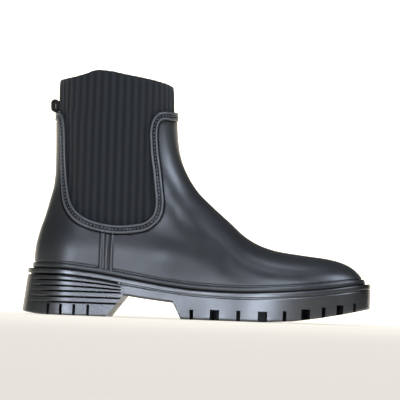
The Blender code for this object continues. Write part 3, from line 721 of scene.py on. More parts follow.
def upright_block(profile, half, middle=0.0):
    """Block across the foot with one profile, as seen from the side."""
    return [[(x, y, z) for x, z in profile] for y in (middle - half, middle + half)]


def cross_block(x, half, width, depth):
    """Block that cuts a groove across the tread."""
    middle = float(rim(x, LEDGE, True)[1] + rim(x, LEDGE, False)[1]) / 2
    high = float(sole_bottom(x)) + depth
    rear, front = x - width / 2, x + width / 2
    profile = [(rear, CUT_UNDER), (front, CUT_UNDER), (front, high), (rear, high)]
    return upright_block(profile, half, middle)


def ring_groove():
    """Groove inside the forefoot's lugs, as a closed loop of square sections."""
    forward = np.linspace(RING_REAR, RING_FRONT, RING_STEPS)
    x = np.concatenate([forward, np.linspace(RING_FRONT, RING_REAR, RING_STEPS)])
    inner = np.arange(len(x)) >= RING_STEPS
    centre = np.array([(rim(v, LEDGE, True) + rim(v, LEDGE, False)) / 2 for v in x])
    edge = np.array([rim(v, LEDGE - RING_INSET, side) for v, side in zip(x, inner)])
    inward = centre - edge
    inward /= np.linalg.norm(inward, axis=1, keepdims=True)
    far = edge + RING_WIDTH * inward
    far[:, 0] += RING_WIDTH * np.where(x < RING_REAR + 1, 1.0, np.where(x > RING_FRONT - 1, -1.0, 0.0))
    high = sole_bottom(x) + TREAD_DEPTH
    low = np.full(len(x), CUT_UNDER)
    corners = ((edge, low), (far, low), (far, high), (edge, high))
    return [np.column_stack(corner) for corner in corners]


def finer(stations):
    """Stations with the steps between them divided, for an even mesh."""
    places = np.arange(len(stations) * STATION_PARTS - STATION_PARTS + 1) / STATION_PARTS
    return np.interp(places, np.arange(len(stations)), stations)


def notch_depth(sole):
    """How deep each vertex lies in the sole's side: 0 on it, 1 inside the notches and heel grooves; a mask
    for painted shade.
    """
    points = np.zeros(3 * len(sole.data.vertices))
    sole.data.vertices.foreach_get("co", points)
    x, y, z = (points.reshape(-1, 3) / MM + ORIGIN).T
    outer, inner = [np.interp(x, rows[:, 0], rows[:, 1]) for rows in PLAN_LEDGE]
    inset = np.minimum(y - outer, inner - y)
    notch = ease((inset - NOTCH_DARK[0]) / (NOTCH_DARK[1] - NOTCH_DARK[0]))
    sunk = inset + HEEL_FLARE_SIDE * (1 - z / HEEL_HEIGHT)
    ribbed = (x > GROOVE_REAR[0]) & (x < HEEL_INSET_END[0])
    ribbed &= (z > HEEL_GROOVES[-1] - RIBBED_BELOW) & (z < sole_top(x) - RIBBED_UNDER)
    groove = ease((sunk - GROOVE_DARK[0]) / (GROOVE_DARK[1] - GROOVE_DARK[0])) * ribbed
    return np.maximum(notch, groove)


def make_outsole(material):
    """Moulded sole unit: the lofted sole and heel joined, and cut by the notches and the tread."""
    stations = finer(HEEL_STATIONS[:-1] + SOLE_STATIONS)
    sole = add_loft("lugged_outsole", [sole_section(x) for x in stations], material)
    heel = add_loft("heel_block", [heel_section(x) for x in finer(HEEL_STATIONS)])
    slope = (BREAST_HEAD - BREAST_FOOT) / BREAST_RISE
    profile = [(BREAST_FOOT + BREAST_UNDER * slope, BREAST_UNDER), (BREAST_AHEAD, BREAST_UNDER),
               (BREAST_AHEAD, BREAST_RISE), (BREAST_HEAD, BREAST_RISE)]
    breast = add_blocks("breast_cutter", [upright_block(profile, BREAST_HALF)])
    boolean(heel, breast, "DIFFERENCE")
    blocks = [notch_block(*row, inner) for row in NOTCHES for inner in (False, True)]
    notches = add_blocks("notch_cutter", blocks)
    ring = add_wheel("ring_cutter", ring_groove())
    crosses = []
    for x in CROSS_GROOVES:
        half = float(rim(x, LEDGE, True)[1] - rim(x, LEDGE, False)[1]) / 2 - RING_INSET - RING_WIDTH / 2
        crosses.append(cross_block(x, half, CROSS_WIDTH, CROSS_DEPTH))
    cross = add_blocks("cross_cutter", crosses)
    rear, front, half, depth = HEEL_POCKET
    corners = [(rear, CUT_UNDER), (front, CUT_UNDER), (front, depth), (rear, depth)]
    pocket = add_blocks("heel_pocket_cutter", [upright_block(corners, half)])
    boolean(sole, heel, "UNION")
    for cutter in (notches, ring, cross, pocket):
        boolean(sole, cutter, "DIFFERENCE")
    apply_modifiers(sole, (heel, breast, notches, ring, cross, pocket))
    # Mask of the painted shade in the notches and the heel's grooves
    set_value(sole, "deep", notch_depth(sole))
    smooth(sole, SOLE_SHARP)
    flat_sides = sole.modifiers.new("flat_sides", "WEIGHTED_NORMAL")
    flat_sides.keep_sharp = True
    apply_modifiers(sole)
    return sole


def collar_line():
    """The collar's edge once round: girth, height, and turn and height gained per step into the rubber."""
    rows = [(turn * GIRTH_PER_TURN, z) for turn, z in COLLAR]
    run = run_along(np.array(rows))
    across = smooth_table([(s, row[0]) for s, row in zip(run, rows)])
    height = smooth_table([(s, row[1]) for s, row in zip(run, rows)])
    s = np.linspace(0.0, run[-1], COLLAR_STEPS + 1)
    step = 2.5
    along = np.stack([across(s + step) - across(s - step), height(s + step) - height(s - step)], axis=1)
    along[[0, -1]] = (1.0, 0.0)
    along /= np.linalg.norm(along, axis=1, keepdims=True)
    girth, z = across(s), height(s)
    into = np.stack([along[:, 1], -along[:, 0]], axis=1)
    girth = np.concatenate([-girth[:0:-1], girth[:-1]])
    z = np.concatenate([z[:0:-1], z[:-1]])
    into = np.concatenate([into[:0:-1] * (-1, 1), into[:-1]])
    turn = girth / GIRTH_PER_TURN
    round_ways = (surface(turn + TURN_STEP, z) - surface(turn - TURN_STEP, z)) / (2 * TURN_STEP)
    up_ways = (surface(turn, z + RISE_STEP) - surface(turn, z - RISE_STEP)) / (2 * RISE_STEP)
    edge = round_ways * (into[:, 1:] / GIRTH_PER_TURN) - up_ways * into[:, :1]
    inward = np.cross(edge, np.cross(up_ways, round_ways))
    inward /= np.linalg.norm(inward, axis=1, keepdims=True)
    steps = np.stack([round_ways, up_ways], axis=2)
    into = np.array([np.linalg.lstsq(ways, aim, rcond=None)[0] for ways, aim in zip(steps, inward)])
    return girth, z, into


COLLAR_LINE = collar_line()


def collar_row(distance, lift):
    """Row of points along the collar at a distance from its edge."""
    girth, z, into = COLLAR_LINE
    turn = girth / GIRTH_PER_TURN + distance * into[:, 0]
    height = z + distance * into[:, 1]
    return skin(turn, height, lift + soft_form(turn, height))


def shell_rows(turn, count, high):
    """Heights of the shell's rows over the bead, even at the back and along the front line in front."""
    low = base_z(turn, BEAD[-1][0])
    share = np.linspace(0.0, 1.0, count)[:, None]
    line = np.linspace(BACK_LINE[0][0], high, FRONT_STEPS)
    run = run_along(np.column_stack([front_x(line), line]))
    start = np.interp(low, line, run)
    front = np.interp(start + (run[-1] - start) * share ** TOE_CROWDING, run, line)
    even = low + (high - low) * share
    return even + (front - even) * ease((abs(turn) - ROWS_TURN) / ROWS_RUN)


def make_seam(side):
    """Three moulded ridges that run up one side of the heel."""
    x = SEAM_REAR + (SEAM_FRONT - SEAM_REAR) * np.array([row[0] for row in SEAM_RIDGES])
    lift = np.array([row[1] for row in SEAM_RIDGES])
    sections = []
    for share in np.linspace(0.0, 1.0, SEAM_STEPS):
        z = sole_top(x) + SEAM_LOW + (SEAM_HIGH - sole_top(x) - SEAM_LOW) * share
        turn = side * turn_at(x, z)
        face = skin(turn, z, lift + soft_form(turn, z))
        under = skin(turn, z, SEAM_UNDER)
        sections.append(np.concatenate([face, under[::-1]]))
    return add_loft("seam_outer" if side < 0 else "seam_inner", sections)


def near_rows(obj, rows, reach):
    """How near each vertex lies to some rows along the collar: 1 on them and 0 from the reach on."""
    points = np.concatenate([collar_row(distance, lift) for distance, lift in rows])
    finder = KDTree(len(points))
    for i, point in enumerate((points - ORIGIN) * MM):
        finder.insert(point, i)
    finder.balance()
    apart = np.array([finder.find(vertex.co)[2] for vertex in obj.data.vertices]) / MM
    return 1 - ease(apart / reach)


def make_upper(material):
    """Moulded rubber shell with its bead, seams and trim band, cut along the collar."""
    turn = ring_turns(SHELL_TURNS)
    high = RUBBER_TOP + SHELL_OVER
    rows = [skin(turn, base_z(turn, rise), lift) for rise, lift in BEAD]
    outside = shell_rows(turn, SHELL_ROWS, high)[1:]
    rows += list(skin(turn, outside, soft_form(turn, outside)))
    rows += list(skin(turn, shell_rows(turn, INNER_ROWS, high)[::-1], -WALL))
    foot = skin(turn, base_z(turn, BEAD[0][0]), -WALL)
    foot[:, 2] = rows[0][:, 2]
    rows.append(foot)
    upper = add_wheel("moulded_upper", rows, material)
    seams = [make_seam(-1.0), make_seam(1.0)]
    groove = add_wheel("trim_groove", [collar_row(distance, lift) for distance, lift in TRIM_GROOVE])
    band = add_wheel("trim_band", [collar_row(distance, lift) for distance, lift in TRIM_BAND])
    girth, z, _ = COLLAR_LINE
    edge = girth / GIRTH_PER_TURN
    above = np.full(len(z), RUBBER_TOP + CUT_OVER)
    corners = ((z, CUT_IN), (z, CUT_OUT), (above, CUT_OUT), (above, CUT_IN))
    cutter = add_wheel("collar_cutter", [skin(edge, height, lift) for height, lift in corners])
    for seam in seams:
        boolean(upper, seam, "UNION")
    boolean(upper, groove, "DIFFERENCE")
    boolean(upper, cutter, "DIFFERENCE")
    boolean(upper, band, "UNION")
    apply_modifiers(upper, (*seams, groove, band, cutter))
    # Masks of the painted shade in the trim's channel and groove, and of the painted highlight on its
    # crests
    set_value(upper, "deep", near_rows(upper, TRIM_PAINTED_SHADE, TRIM_BLEND))
    set_value(upper, "crest", near_rows(upper, TRIM_PAINTED_HIGHLIGHT, TRIM_BLEND))
    smooth(upper)
    return upper


def sock_lift(turn, z):
    """How far the knit's outside lies under the plain wall: it fills out a little inside the cut-outs."""
    girth, edge, _ = COLLAR_LINE
    order = np.argsort(girth)
    inside = z > np.interp(turn * GIRTH_PER_TURN, girth[order], edge[order])
    apart = np.full(np.shape(z), 1e9)
    for place, height in zip(girth[::EDGE_STRIDE], edge[::EDGE_STRIDE]):
        apart = np.minimum(apart, np.hypot(turn * GIRTH_PER_TURN - place, z - height))
    bulge = SOCK_BULGE * ease((apart - SOCK_EDGE) / SOCK_EASE) * inside
    return -(WALL + SOCK_GAP) + bulge * (1 - ease((z - SOCK_FADE_LOW) / SOCK_FADE_RUN))


def rib_columns():
    """Columns of the knit on one side: x at the collar's level, and girth from the back line."""
    turn = np.linspace(0.0, math.pi, FINE_STEPS)
    line = surface(turn, RIB_LEVEL)
    run = run_along(line)
    girth = np.linspace(0.0, run[-1], RIB_COUNT * RIB_COLUMNS // 2 + 1)
    return np.interp(girth, run, line[:, 0]), girth


# Width of one rib of the knit, in metres
RIB_PITCH = 2 * rib_columns()[1][-1] * MM / RIB_COUNT


def sock_turns(place, z):
    """Turn of each column at a height: upright ribs, that follow the front and back lines near them."""
    front = front_x(z) - front_x(RIB_LEVEL)
    rear = back_x(z) - back_x(RIB_LEVEL)
    toward_front = ease((place - RIB_BEND) / (front_x(RIB_LEVEL) - RIB_BEND))
    toward_rear = ease((RIB_BEND_REAR - place) / (RIB_BEND_REAR - back_x(RIB_LEVEL)))
    return turn_at(place + front * toward_front + rear * toward_rear, z)


def make_sock(material):
    """Rib-knit sleeve between its hidden lower edge and its wavy top."""
    place, girth = rib_columns()
    side = np.concatenate([-np.ones(len(place) - 1), np.ones(len(place) - 1)])
    column = np.concatenate([np.arange(len(place) - 1, 0, -1), np.arange(len(place) - 1)])
    girth_round = girth[column] * side
    flat_turn = turn_at(place, RIB_LEVEL)[column]
    low, high = sock_low(flat_turn), sock_high(flat_turn)
    rows, uv, outer = [], [], []
    shares = [(share, 0.0) for share in np.linspace(0.0, SOCK_HEM, SOCK_ROWS)]
    shares += SOCK_RIM
    shares += [(share, SOCK_WALL - depth) for share, depth in reversed(SOCK_RIM)]
    shares += [(share, SOCK_WALL) for share in np.linspace(SOCK_HEM, 0.0, SOCK_ROWS // 2)]
    for share, depth in shares:
        z = low + (high - low) * share
        turn = sock_turns(place[column], z) * side
        rows.append(skin(turn, z, sock_lift(turn, z) - depth))
        uv.append(np.column_stack([girth_round, z]) * MM)
        fade = RIB_END + (1 - RIB_END) * ease((high - z) / RIB_FADE)
        outer.append((1.0 if depth < SOCK_WALL / 2 else RIB_INSIDE) * fade)
    sock = add_wheel("rib_knit_sock", rows, material)
    uv = np.concatenate(uv)
    set_uv(sock, uv)
    set_value(sock, "girth", uv[:, 0])
    set_value(sock, "outer", np.concatenate(outer))
    apply_tree(sock, rib_tree(), {"Pitch": RIB_PITCH, "Height": RIB_HEIGHT * MM, "Material": material})
    smooth(sock, SOFT_SHARP)
    return sock


def make_insole(material):
    """Cloth-covered plate on the sole's top with a softly crowned edge."""
    turn = np.linspace(INSOLE_END, math.pi - INSOLE_END, INSOLE_STEPS)
    spread = np.linspace(0.0, 1.0, INSOLE_ACROSS)
    sections = []
    for value in turn:
        here = np.array([-value, value])
        sides = skin(here, base_z(here, GAP + INSOLE_THICK + INSOLE_RISE), -(WALL + INSOLE_INSET))
        edge = sides[0] + (sides[1] - sides[0]) * spread[:, None]
        ground = sole_top(edge[:, 0]) + GAP
        crown = INSOLE_ROUND * (1 - bow(np.minimum(spread, 1 - spread) * INSOLE_PART))
        upper = np.column_stack([edge[:, :2], ground + INSOLE_THICK - crown])
        lower = np.column_stack([edge[:, :2], ground])
        sections.append(np.concatenate([upper, lower[::-1]]))
    insole = add_loft("cloth_insole", sections, material)
    smooth(insole)
    return insole


def loop_profile(inset):
    """Rounded outline of the strap's loop: distance behind the knit, height over its lower end."""
    deep, tall, corner = LOOP_DEEP - inset, LOOP_TALL - inset, max(LOOP_CORNER - inset, LOOP_TIGHT)
    points = []
    centres = ((deep - corner, tall - corner), (inset + corner, tall - corner),
               (inset + corner, inset + corner), (deep - corner, inset + corner))
    for i, (out, up) in enumerate(centres):
        for angle in np.linspace(i * math.pi / 2, (i + 1) * math.pi / 2, LOOP_ARC):
            points.append((out + corner * math.cos(angle), up + corner * math.sin(angle)))
    return np.array(points)


def make_pull_loop(material):
    """Folded webbing loop against the back of the knit."""
    rows, uv = [], []
    spread = np.linspace(-LOOP_WIDTH / 2, LOOP_WIDTH / 2, LOOP_ACROSS)
    flat, first, last = spread * LOOP_FLAT, spread[:1], spread[-1:]
    layers = [(LOOP_EDGE, first), (0.0, flat), (LOOP_EDGE, last), (LOOP_STRAP - LOOP_EDGE, last),
              (LOOP_STRAP, flat[::-1]), (LOOP_STRAP - LOOP_EDGE, first)]
    for inset, places in layers:
        profile = loop_profile(inset)
        run = run_along(profile)
        for place in places:
            turn = np.full(len(profile), place / LOOP_PER_TURN)
            z = LOOP_LOW + profile[:, 1]
            rows.append(skin(turn, z, sock_lift(turn, z) + GAP + profile[:, 0]))
            uv.append(np.column_stack([np.full(len(run), place), run]) * MM)
    loop = add_wheel("webbing_loop", rows, material)
    set_uv(loop, np.concatenate(uv))
    smooth(loop, SOFT_SHARP)
    return loop


def make_stitches(material):
    """Row of moulded stitches in the trim band's channel."""
    points = (collar_row(STITCH_LINE, STITCH_LIFT) - ORIGIN) * MM
    line = bpy.data.curves.new("stitch_line", "CURVE")
    line.dimensions = "3D"
    spline = line.splines.new("POLY")
    spline.points.add(len(points) - 1)
    spline.points.foreach_set("co", np.column_stack([points, np.ones(len(points))]).ravel())
    spline.use_cyclic_u = True
    stitches = bpy.data.objects.new("stitch_line", line)
    bpy.context.scene.collection.objects.link(stitches)
    values = {"Pitch": STITCH_PITCH * MM, "Length": STITCH_LENGTH * MM, "Thickness": STITCH_THICKNESS * MM,
              "Material": material}
    set_tree(stitches, stitch_tree(), values)
    evaluated = stitches.evaluated_get(bpy.context.evaluated_depsgraph_get())
    mesh = bpy.data.meshes.new_from_object(evaluated)
    bpy.data.objects.remove(stitches)
    row = bpy.data.objects.new("moulded_stitches", mesh)
    bpy.context.scene.collection.objects.link(row)
    return row


def add_node(tree, kind, inputs=None, **settings):
    """Add a node, set its options, and give each named input a value or a link."""
    made = tree.nodes.new(kind)
    for name, value in settings.items():
        setattr(made, name, value)
    for key, value in (inputs or {}).items():
        if isinstance(value, bpy.types.NodeSocket):
            tree.links.new(value, made.inputs[key])
        else:
            made.inputs[key].default_value = value
    return made


def new_tree(name, inputs):
    """A Geometry Nodes tree with named inputs, and the outputs of its input node."""
    tree = bpy.data.node_groups.new(name, "GeometryNodeTree")
    tree.interface.new_socket("Geometry", in_out="INPUT", socket_type="NodeSocketGeometry")
    for label, kind in inputs:
        tree.interface.new_socket(label, in_out="INPUT", socket_type=kind)
    tree.interface.new_socket("Geometry", in_out="OUTPUT", socket_type="NodeSocketGeometry")
    return tree, add_node(tree, "NodeGroupInput").outputs


def close_tree(tree, geometry, material):
    """End a tree with realized instances and the piece's material."""
    plain = add_node(tree, "GeometryNodeRealizeInstances", {"Geometry": geometry})
    finish = {"Geometry": plain.outputs[0], "Material": material}
    painted = add_node(tree, "GeometryNodeSetMaterial", finish)
    add_node(tree, "NodeGroupOutput", {"Geometry": painted.outputs[0]})
    return tree


def set_tree(obj, tree, values):
    """Give an object a Geometry Nodes modifier and set its inputs by their identifiers."""
    modifier = obj.modifiers.new(tree.name, "NODES")
    modifier.node_group = tree
    for item in tree.interface.items_tree:
        if item.in_out == "INPUT" and item.name in values:
            modifier[item.identifier] = values[item.name]


def apply_tree(obj, tree, values):
    """Shape an object by a tree and keep the result as its plain mesh."""
    set_tree(obj, tree, values)
    apply_modifiers(obj)


def rib_tree():
    """Knit ribs: each point moves along its normal by a rounded wave round the girth."""
    inputs = (("Pitch", "NodeSocketFloat"), ("Height", "NodeSocketFloat"),
              ("Material", "NodeSocketMaterial"))
    tree, given = new_tree("knit_ribs", inputs)
    girth = add_node(tree, "GeometryNodeInputNamedAttribute", {"Name": "girth"}, data_type="FLOAT")
    outer = add_node(tree, "GeometryNodeInputNamedAttribute", {"Name": "outer"}, data_type="FLOAT")
    place = add_node(tree, "ShaderNodeMath", {0: girth.outputs[0], 1: given["Pitch"]}, operation="DIVIDE")
    angle = add_node(tree, "ShaderNodeMath", {0: place.outputs[0], 1: 2 * math.pi}, operation="MULTIPLY")
    wave = add_node(tree, "ShaderNodeMath", {0: angle.outputs[0]}, operation="COSINE")
    flanks = {"Value": wave.outputs[0], "From Min": -RIB_FLANK, "From Max": RIB_FLANK,
              "To Min": RIB_SINK, "To Max": RIB_RISE}
    crest = add_node(tree, "ShaderNodeMapRange", flanks, interpolation_type="SMOOTHSTEP")
    rise = add_node(tree, "ShaderNodeMath", {0: crest.outputs[0], 1: given["Height"]}, operation="MULTIPLY")
    rise = add_node(tree, "ShaderNodeMath", {0: rise.outputs[0], 1: outer.outputs[0]}, operation="MULTIPLY")
    normal = add_node(tree, "GeometryNodeInputNormal")
    along = {0: normal.outputs[0], "Scale": rise.outputs[0]}
    shift = add_node(tree, "ShaderNodeVectorMath", along, operation="SCALE")
    sleeve = {"Geometry": given["Geometry"], "Offset": shift.outputs[0]}
    moved = add_node(tree, "GeometryNodeSetPosition", sleeve)
    return close_tree(tree, moved.outputs[0], given["Material"])


def stitch_tree():
    """Stitches: one rounded grain at each even step along a line, lying along it."""
    inputs = (("Pitch", "NodeSocketFloat"), ("Length", "NodeSocketFloat"), ("Thickness", "NodeSocketFloat"),
              ("Material", "NodeSocketMaterial"))
    tree, given = new_tree("stitch_row", inputs)
    line = {"Curve": given["Geometry"], "Length": given["Pitch"]}
    steps = add_node(tree, "GeometryNodeResampleCurve", line, mode="LENGTH")
    sides = {"X": given["Thickness"], "Y": given["Thickness"], "Z": given["Length"]}
    size = add_node(tree, "ShaderNodeCombineXYZ", sides)
    grain = add_node(tree, "GeometryNodeMeshUVSphere", {"Segments": 8, "Rings": 6, "Radius": 0.5})
    stretch = {"Geometry": grain.outputs[0], "Scale": size.outputs[0]}
    sized = add_node(tree, "GeometryNodeTransform", stretch)
    tangent = add_node(tree, "GeometryNodeInputTangent")
    lie = add_node(tree, "FunctionNodeAlignRotationToVector", {"Vector": tangent.outputs[0]}, axis="Z")
    places = {"Points": steps.outputs[0], "Instance": sized.outputs[0], "Rotation": lie.outputs[0]}
    row = add_node(tree, "GeometryNodeInstanceOnPoints", places)
    return close_tree(tree, row.outputs[0], given["Material"])


def linear(colour):
    """Linear colour, with alpha, of an sRGB hex value."""
    values = [int(colour[i:i + 2], 16) / 255 for i in (1, 3, 5)]
    return (*[v / 12.92 if v <= 0.04045 else ((v + 0.055) / 1.055) ** 2.4 for v in values], 1.0)


def new_material(name):
    """An empty node material with its shader and tree."""
    material = bpy.data.materials.new(name)
    material.use_nodes = True
    tree = material.node_tree
    return material, tree, tree.nodes["Principled BSDF"]


def moulded_rubber(name, colour, light_colour, roughness, grain_mm, grain_depth_mm, gloss_level=0.5,
                   marked=True):
    """Moulded PVC rubber: black with a soft satin gloss, a fine mould grain and a slightly uneven sheen.

    On a piece that has its grooves and crests marked, grooves get a painted shade, darker and duller, and
    the crests of the trim get a painted highlight of lighter grey.
    """
    material, tree, shader = new_material(name)
    place = add_node(tree, "ShaderNodeTexCoord").outputs["Object"]
    fine = {"Vector": place, "Scale": 1 / (grain_mm * MM), "Detail": 2.0}
    grain = add_node(tree, "ShaderNodeTexNoise", fine)
    wide = {"Vector": place, "Scale": 1 / (CLOUD_MM * MM), "Detail": 3.0}
    cloud = add_node(tree, "ShaderNodeTexNoise", wide)
    middling = {"Vector": place, "Scale": 1 / (PATCH_MM * MM), "Detail": 4.0}
    patch = add_node(tree, "ShaderNodeTexNoise", middling)
    tones = {"Factor": patch.outputs["Fac"], 6: linear(colour), 7: linear(light_colour)}
    tone = add_node(tree, "ShaderNodeMix", tones, data_type="RGBA")
    satin = {"Value": cloud.outputs["Fac"], "From Min": NOISE_LOW, "From Max": NOISE_HIGH,
             "To Min": roughness - SHINIER, "To Max": roughness + DULLER}
    gloss = add_node(tree, "ShaderNodeMapRange", satin)
    low = {"Height": cloud.outputs["Fac"], "Distance": CLOUD_SWELL * grain_depth_mm * MM, "Strength": 0.35}
    swell = add_node(tree, "ShaderNodeBump", low)
    rough = {"Height": grain.outputs["Fac"], "Distance": grain_depth_mm * MM, "Strength": 0.5,
             "Normal": swell.outputs[0]}
    relief = add_node(tree, "ShaderNodeBump", rough)
    tree.links.new(tone.outputs[2], shader.inputs["Base Color"])
    tree.links.new(gloss.outputs[0], shader.inputs["Roughness"])
    tree.links.new(relief.outputs[0], shader.inputs["Normal"])
    shader.inputs["IOR"].default_value = RUBBER_IOR
    shader.inputs["Specular IOR Level"].default_value = gloss_level
    if marked:
        # Painted shade in the marked grooves and notches, and a painted highlight on the trim's crests
        deep = add_node(tree, "ShaderNodeAttribute", attribute_name="deep").outputs["Fac"]
        crest = add_node(tree, "ShaderNodeAttribute", attribute_name="crest").outputs["Fac"]
        highlight_mix = {"Factor": crest, 6: tone.outputs[2], 7: linear(PAINTED_HIGHLIGHT_COLOUR)}
        highlighted = add_node(tree, "ShaderNodeMix", highlight_mix, data_type="RGBA")
        dark = {"Factor": deep, 6: highlighted.outputs[2], 7: linear(SHADED_COLOUR)}
        shade = add_node(tree, "ShaderNodeMix", dark, data_type="RGBA")
        levels = {"Value": deep, "To Min": gloss_level, "To Max": SHADED_GLOSS}
        dull = add_node(tree, "ShaderNodeMapRange", levels)
        tree.links.new(shade.outputs[2], shader.inputs["Base Color"])
        tree.links.new(dull.outputs[0], shader.inputs["Specular IOR Level"])
    return material


def rib_knit(name, valley_painted_shade, crest, pitch):
    """Wool-blend rib knit: matte black with painted shade between its ribs and painted light on them, small
    V stitches and a soft nap.
    """
    material, tree, shader = new_material(name)
    uv = add_node(tree, "ShaderNodeUVMap", uv_map="surface").outputs[0]
    parts = add_node(tree, "ShaderNodeSeparateXYZ", {0: uv})
    round_rib = {0: parts.outputs[0], 1: 2 * math.pi / pitch}
    turns = add_node(tree, "ShaderNodeMath", round_rib, operation="MULTIPLY")
    wave = add_node(tree, "ShaderNodeMath", {0: turns.outputs[0]}, operation="COSINE")
    crests = {"Value": wave.outputs[0], "From Min": KNIT_DARK, "From Max": KNIT_LIGHT}
    share = add_node(tree, "ShaderNodeMapRange", crests)
    tones = {"Factor": share.outputs[0], 6: linear(valley_painted_shade), 7: linear(crest)}
    tone = add_node(tree, "ShaderNodeMix", tones, data_type="RGBA")
    wale = add_node(tree, "ShaderNodeMath", {0: parts.outputs[0], 1: pitch / 4}, operation="PINGPONG")
    slant = {0: wale.outputs[0], 1: KNIT_LEAN, 2: parts.outputs[1]}
    lean = add_node(tree, "ShaderNodeMath", slant, operation="MULTIPLY_ADD")
    upward = {0: lean.outputs[0], 1: 2 * math.pi / (KNIT_STITCH_MM * MM)}
    stitch = add_node(tree, "ShaderNodeMath", upward, operation="MULTIPLY")
    loops = add_node(tree, "ShaderNodeMath", {0: stitch.outputs[0]}, operation="SINE")
    fibres = {"Vector": uv, "Scale": 1 / (KNIT_NAP_MM * MM), "Detail": 3.0}
    nap = add_node(tree, "ShaderNodeTexNoise", fibres)
    low = {"Height": loops.outputs[0], "Distance": KNIT_STITCH_DEPTH_MM * MM, "Strength": 0.6}
    yarn = add_node(tree, "ShaderNodeBump", low)
    soft = {"Height": nap.outputs["Fac"], "Distance": KNIT_NAP_DEPTH_MM * MM, "Strength": 0.5,
            "Normal": yarn.outputs[0]}
    fuzz = add_node(tree, "ShaderNodeBump", soft)
    tree.links.new(tone.outputs[2], shader.inputs["Base Color"])
    tree.links.new(fuzz.outputs[0], shader.inputs["Normal"])
    shader.inputs["Roughness"].default_value = 0.92
    shader.inputs["Specular IOR Level"].default_value = 0.25
    shader.inputs["Sheen Weight"].default_value = 0.12
    shader.inputs["Sheen Roughness"].default_value = 0.5
    return material


def woven_cloth(name, dark, light, thread_mm):
    """Plain woven polyester: matte, with threads over and under each other that show as a fine check."""
    material, tree, shader = new_material(name)
    place = add_node(tree, "ShaderNodeTexCoord").outputs["Object"]
    threads = {"Vector": place, "Scale": 1 / (thread_mm * MM), "Color1": linear(dark),
               "Color2": linear(light)}
    weave = add_node(tree, "ShaderNodeTexChecker", threads)
    fibres = {"Vector": place, "Scale": 1 / (FIBRE_MM * MM), "Detail": 2.0}
    fibre = add_node(tree, "ShaderNodeTexNoise", fibres)
    low = {"Height": weave.outputs["Fac"], "Distance": WEAVE_DEPTH_MM * MM, "Strength": 0.5}
    relief = add_node(tree, "ShaderNodeBump", low)
    soft = {"Height": fibre.outputs["Fac"], "Distance": FIBRE_DEPTH_MM * MM, "Strength": 0.5,
            "Normal": relief.outputs[0]}
    fuzz = add_node(tree, "ShaderNodeBump", soft)
    tree.links.new(weave.outputs["Color"], shader.inputs["Base Color"])
    tree.links.new(fuzz.outputs[0], shader.inputs["Normal"])
    shader.inputs["Roughness"].default_value = 0.85
    return material


def make_sweep():
    """Pale matte paper: a floor that curves up into a backdrop far behind the boot.

    It glows a little, a painted light, less toward the camera, so that it is brightest beside and behind
    the boot, and its colour is a painted shade that turns darker toward the camera.
    """
    material, tree, shader = new_material("pale_paper")
    place = add_node(tree, "ShaderNodeTexCoord").outputs["Object"]
    parts = add_node(tree, "ShaderNodeSeparateXYZ", {0: place})
    # Painted shade: the paper's colour darkens toward the camera
    back = {"Value": parts.outputs["Y"], "From Min": PAPER_TONE[0], "From Max": PAPER_TONE[1]}
    away = add_node(tree, "ShaderNodeMapRange", back)
    tones = {"Factor": away.outputs[0], 6: linear(PAPER_NEAR), 7: linear(PAPER_FAR)}
    tone = add_node(tree, "ShaderNodeMix", tones, data_type="RGBA")
    tree.links.new(tone.outputs[2], shader.inputs["Base Color"])
    tree.links.new(tone.outputs[2], shader.inputs["Emission Color"])
    bright = {"Value": parts.outputs["Y"], "From Min": PAPER_GLOW[0], "From Max": PAPER_GLOW[1],
              "To Min": GLOW_NEAR, "To Max": GLOW_FAR}
    glow = add_node(tree, "ShaderNodeMapRange", bright)
    tree.links.new(glow.outputs[0], shader.inputs["Emission Strength"])
    material.cycles.emission_sampling = "NONE"
    shader.inputs["Roughness"].default_value = 0.95
    shader.inputs["Specular IOR Level"].default_value = 0.0
    profile = [(-SWEEP_REACH, 0.0), (SWEEP_BEND, 0.0)]
    for angle in np.linspace(SWEEP_FIRST, math.pi / 2, SWEEP_STEPS):
        profile.append((SWEEP_BEND + SWEEP_ROUND * math.sin(angle), SWEEP_ROUND * (1 - math.cos(angle))))
    profile.append((SWEEP_BEND + SWEEP_ROUND, SWEEP_TOP))
    points = [(x, y, z) for y, z in profile for x in (-SWEEP_REACH, SWEEP_REACH)]
    faces = [(2 * i, 2 * i + 1, 2 * i + 3, 2 * i + 2) for i in range(len(profile) - 1)]
    mesh = bpy.data.meshes.new("paper_sweep")
    mesh.from_pydata(points, [], faces)
    mesh.materials.append(material)
    mesh.shade_smooth()
    sweep = bpy.data.objects.new("paper_sweep", mesh)
    bpy.context.scene.collection.objects.link(sweep)


def add_light(name, place, target, size, power, colour, shine=True, fill=True):
    """A soft rectangular light that faces a point, and shows in the gloss, fills dull surfaces or both."""
    data = bpy.data.lights.new(name, "AREA")
    data.color = linear(colour)[:3]
    data.shape = "RECTANGLE"
    data.size, data.size_y = size
    data.energy = power
    light = bpy.data.objects.new(name, data)
    light.location = place
    light.rotation_euler = (Vector(target) - Vector(place)).to_track_quat("-Z", "Y").to_euler()
    light.visible_camera = False
    light.visible_glossy = shine
    light.visible_diffuse = fill
    bpy.context.scene.collection.objects.link(light)


def add_card(name, near, far, height):
    """A dark card on the floor from one point to another, that keeps the pale paper out of the gloss."""
    material, _, shader = new_material(name)
    shader.inputs["Base Color"].default_value = linear(CARD_COLOUR)
    shader.inputs["Roughness"].default_value = 1.0
    mesh = bpy.data.meshes.new(name)
    mesh.from_pydata([(*near, 0.0), (*far, 0.0), (*far, height), (*near, height)], [], [(0, 1, 2, 3)])
    mesh.materials.append(material)
    card = bpy.data.objects.new(name, mesh)
    card.visible_camera = card.visible_diffuse = card.visible_shadow = False
    bpy.context.scene.collection.objects.link(card)


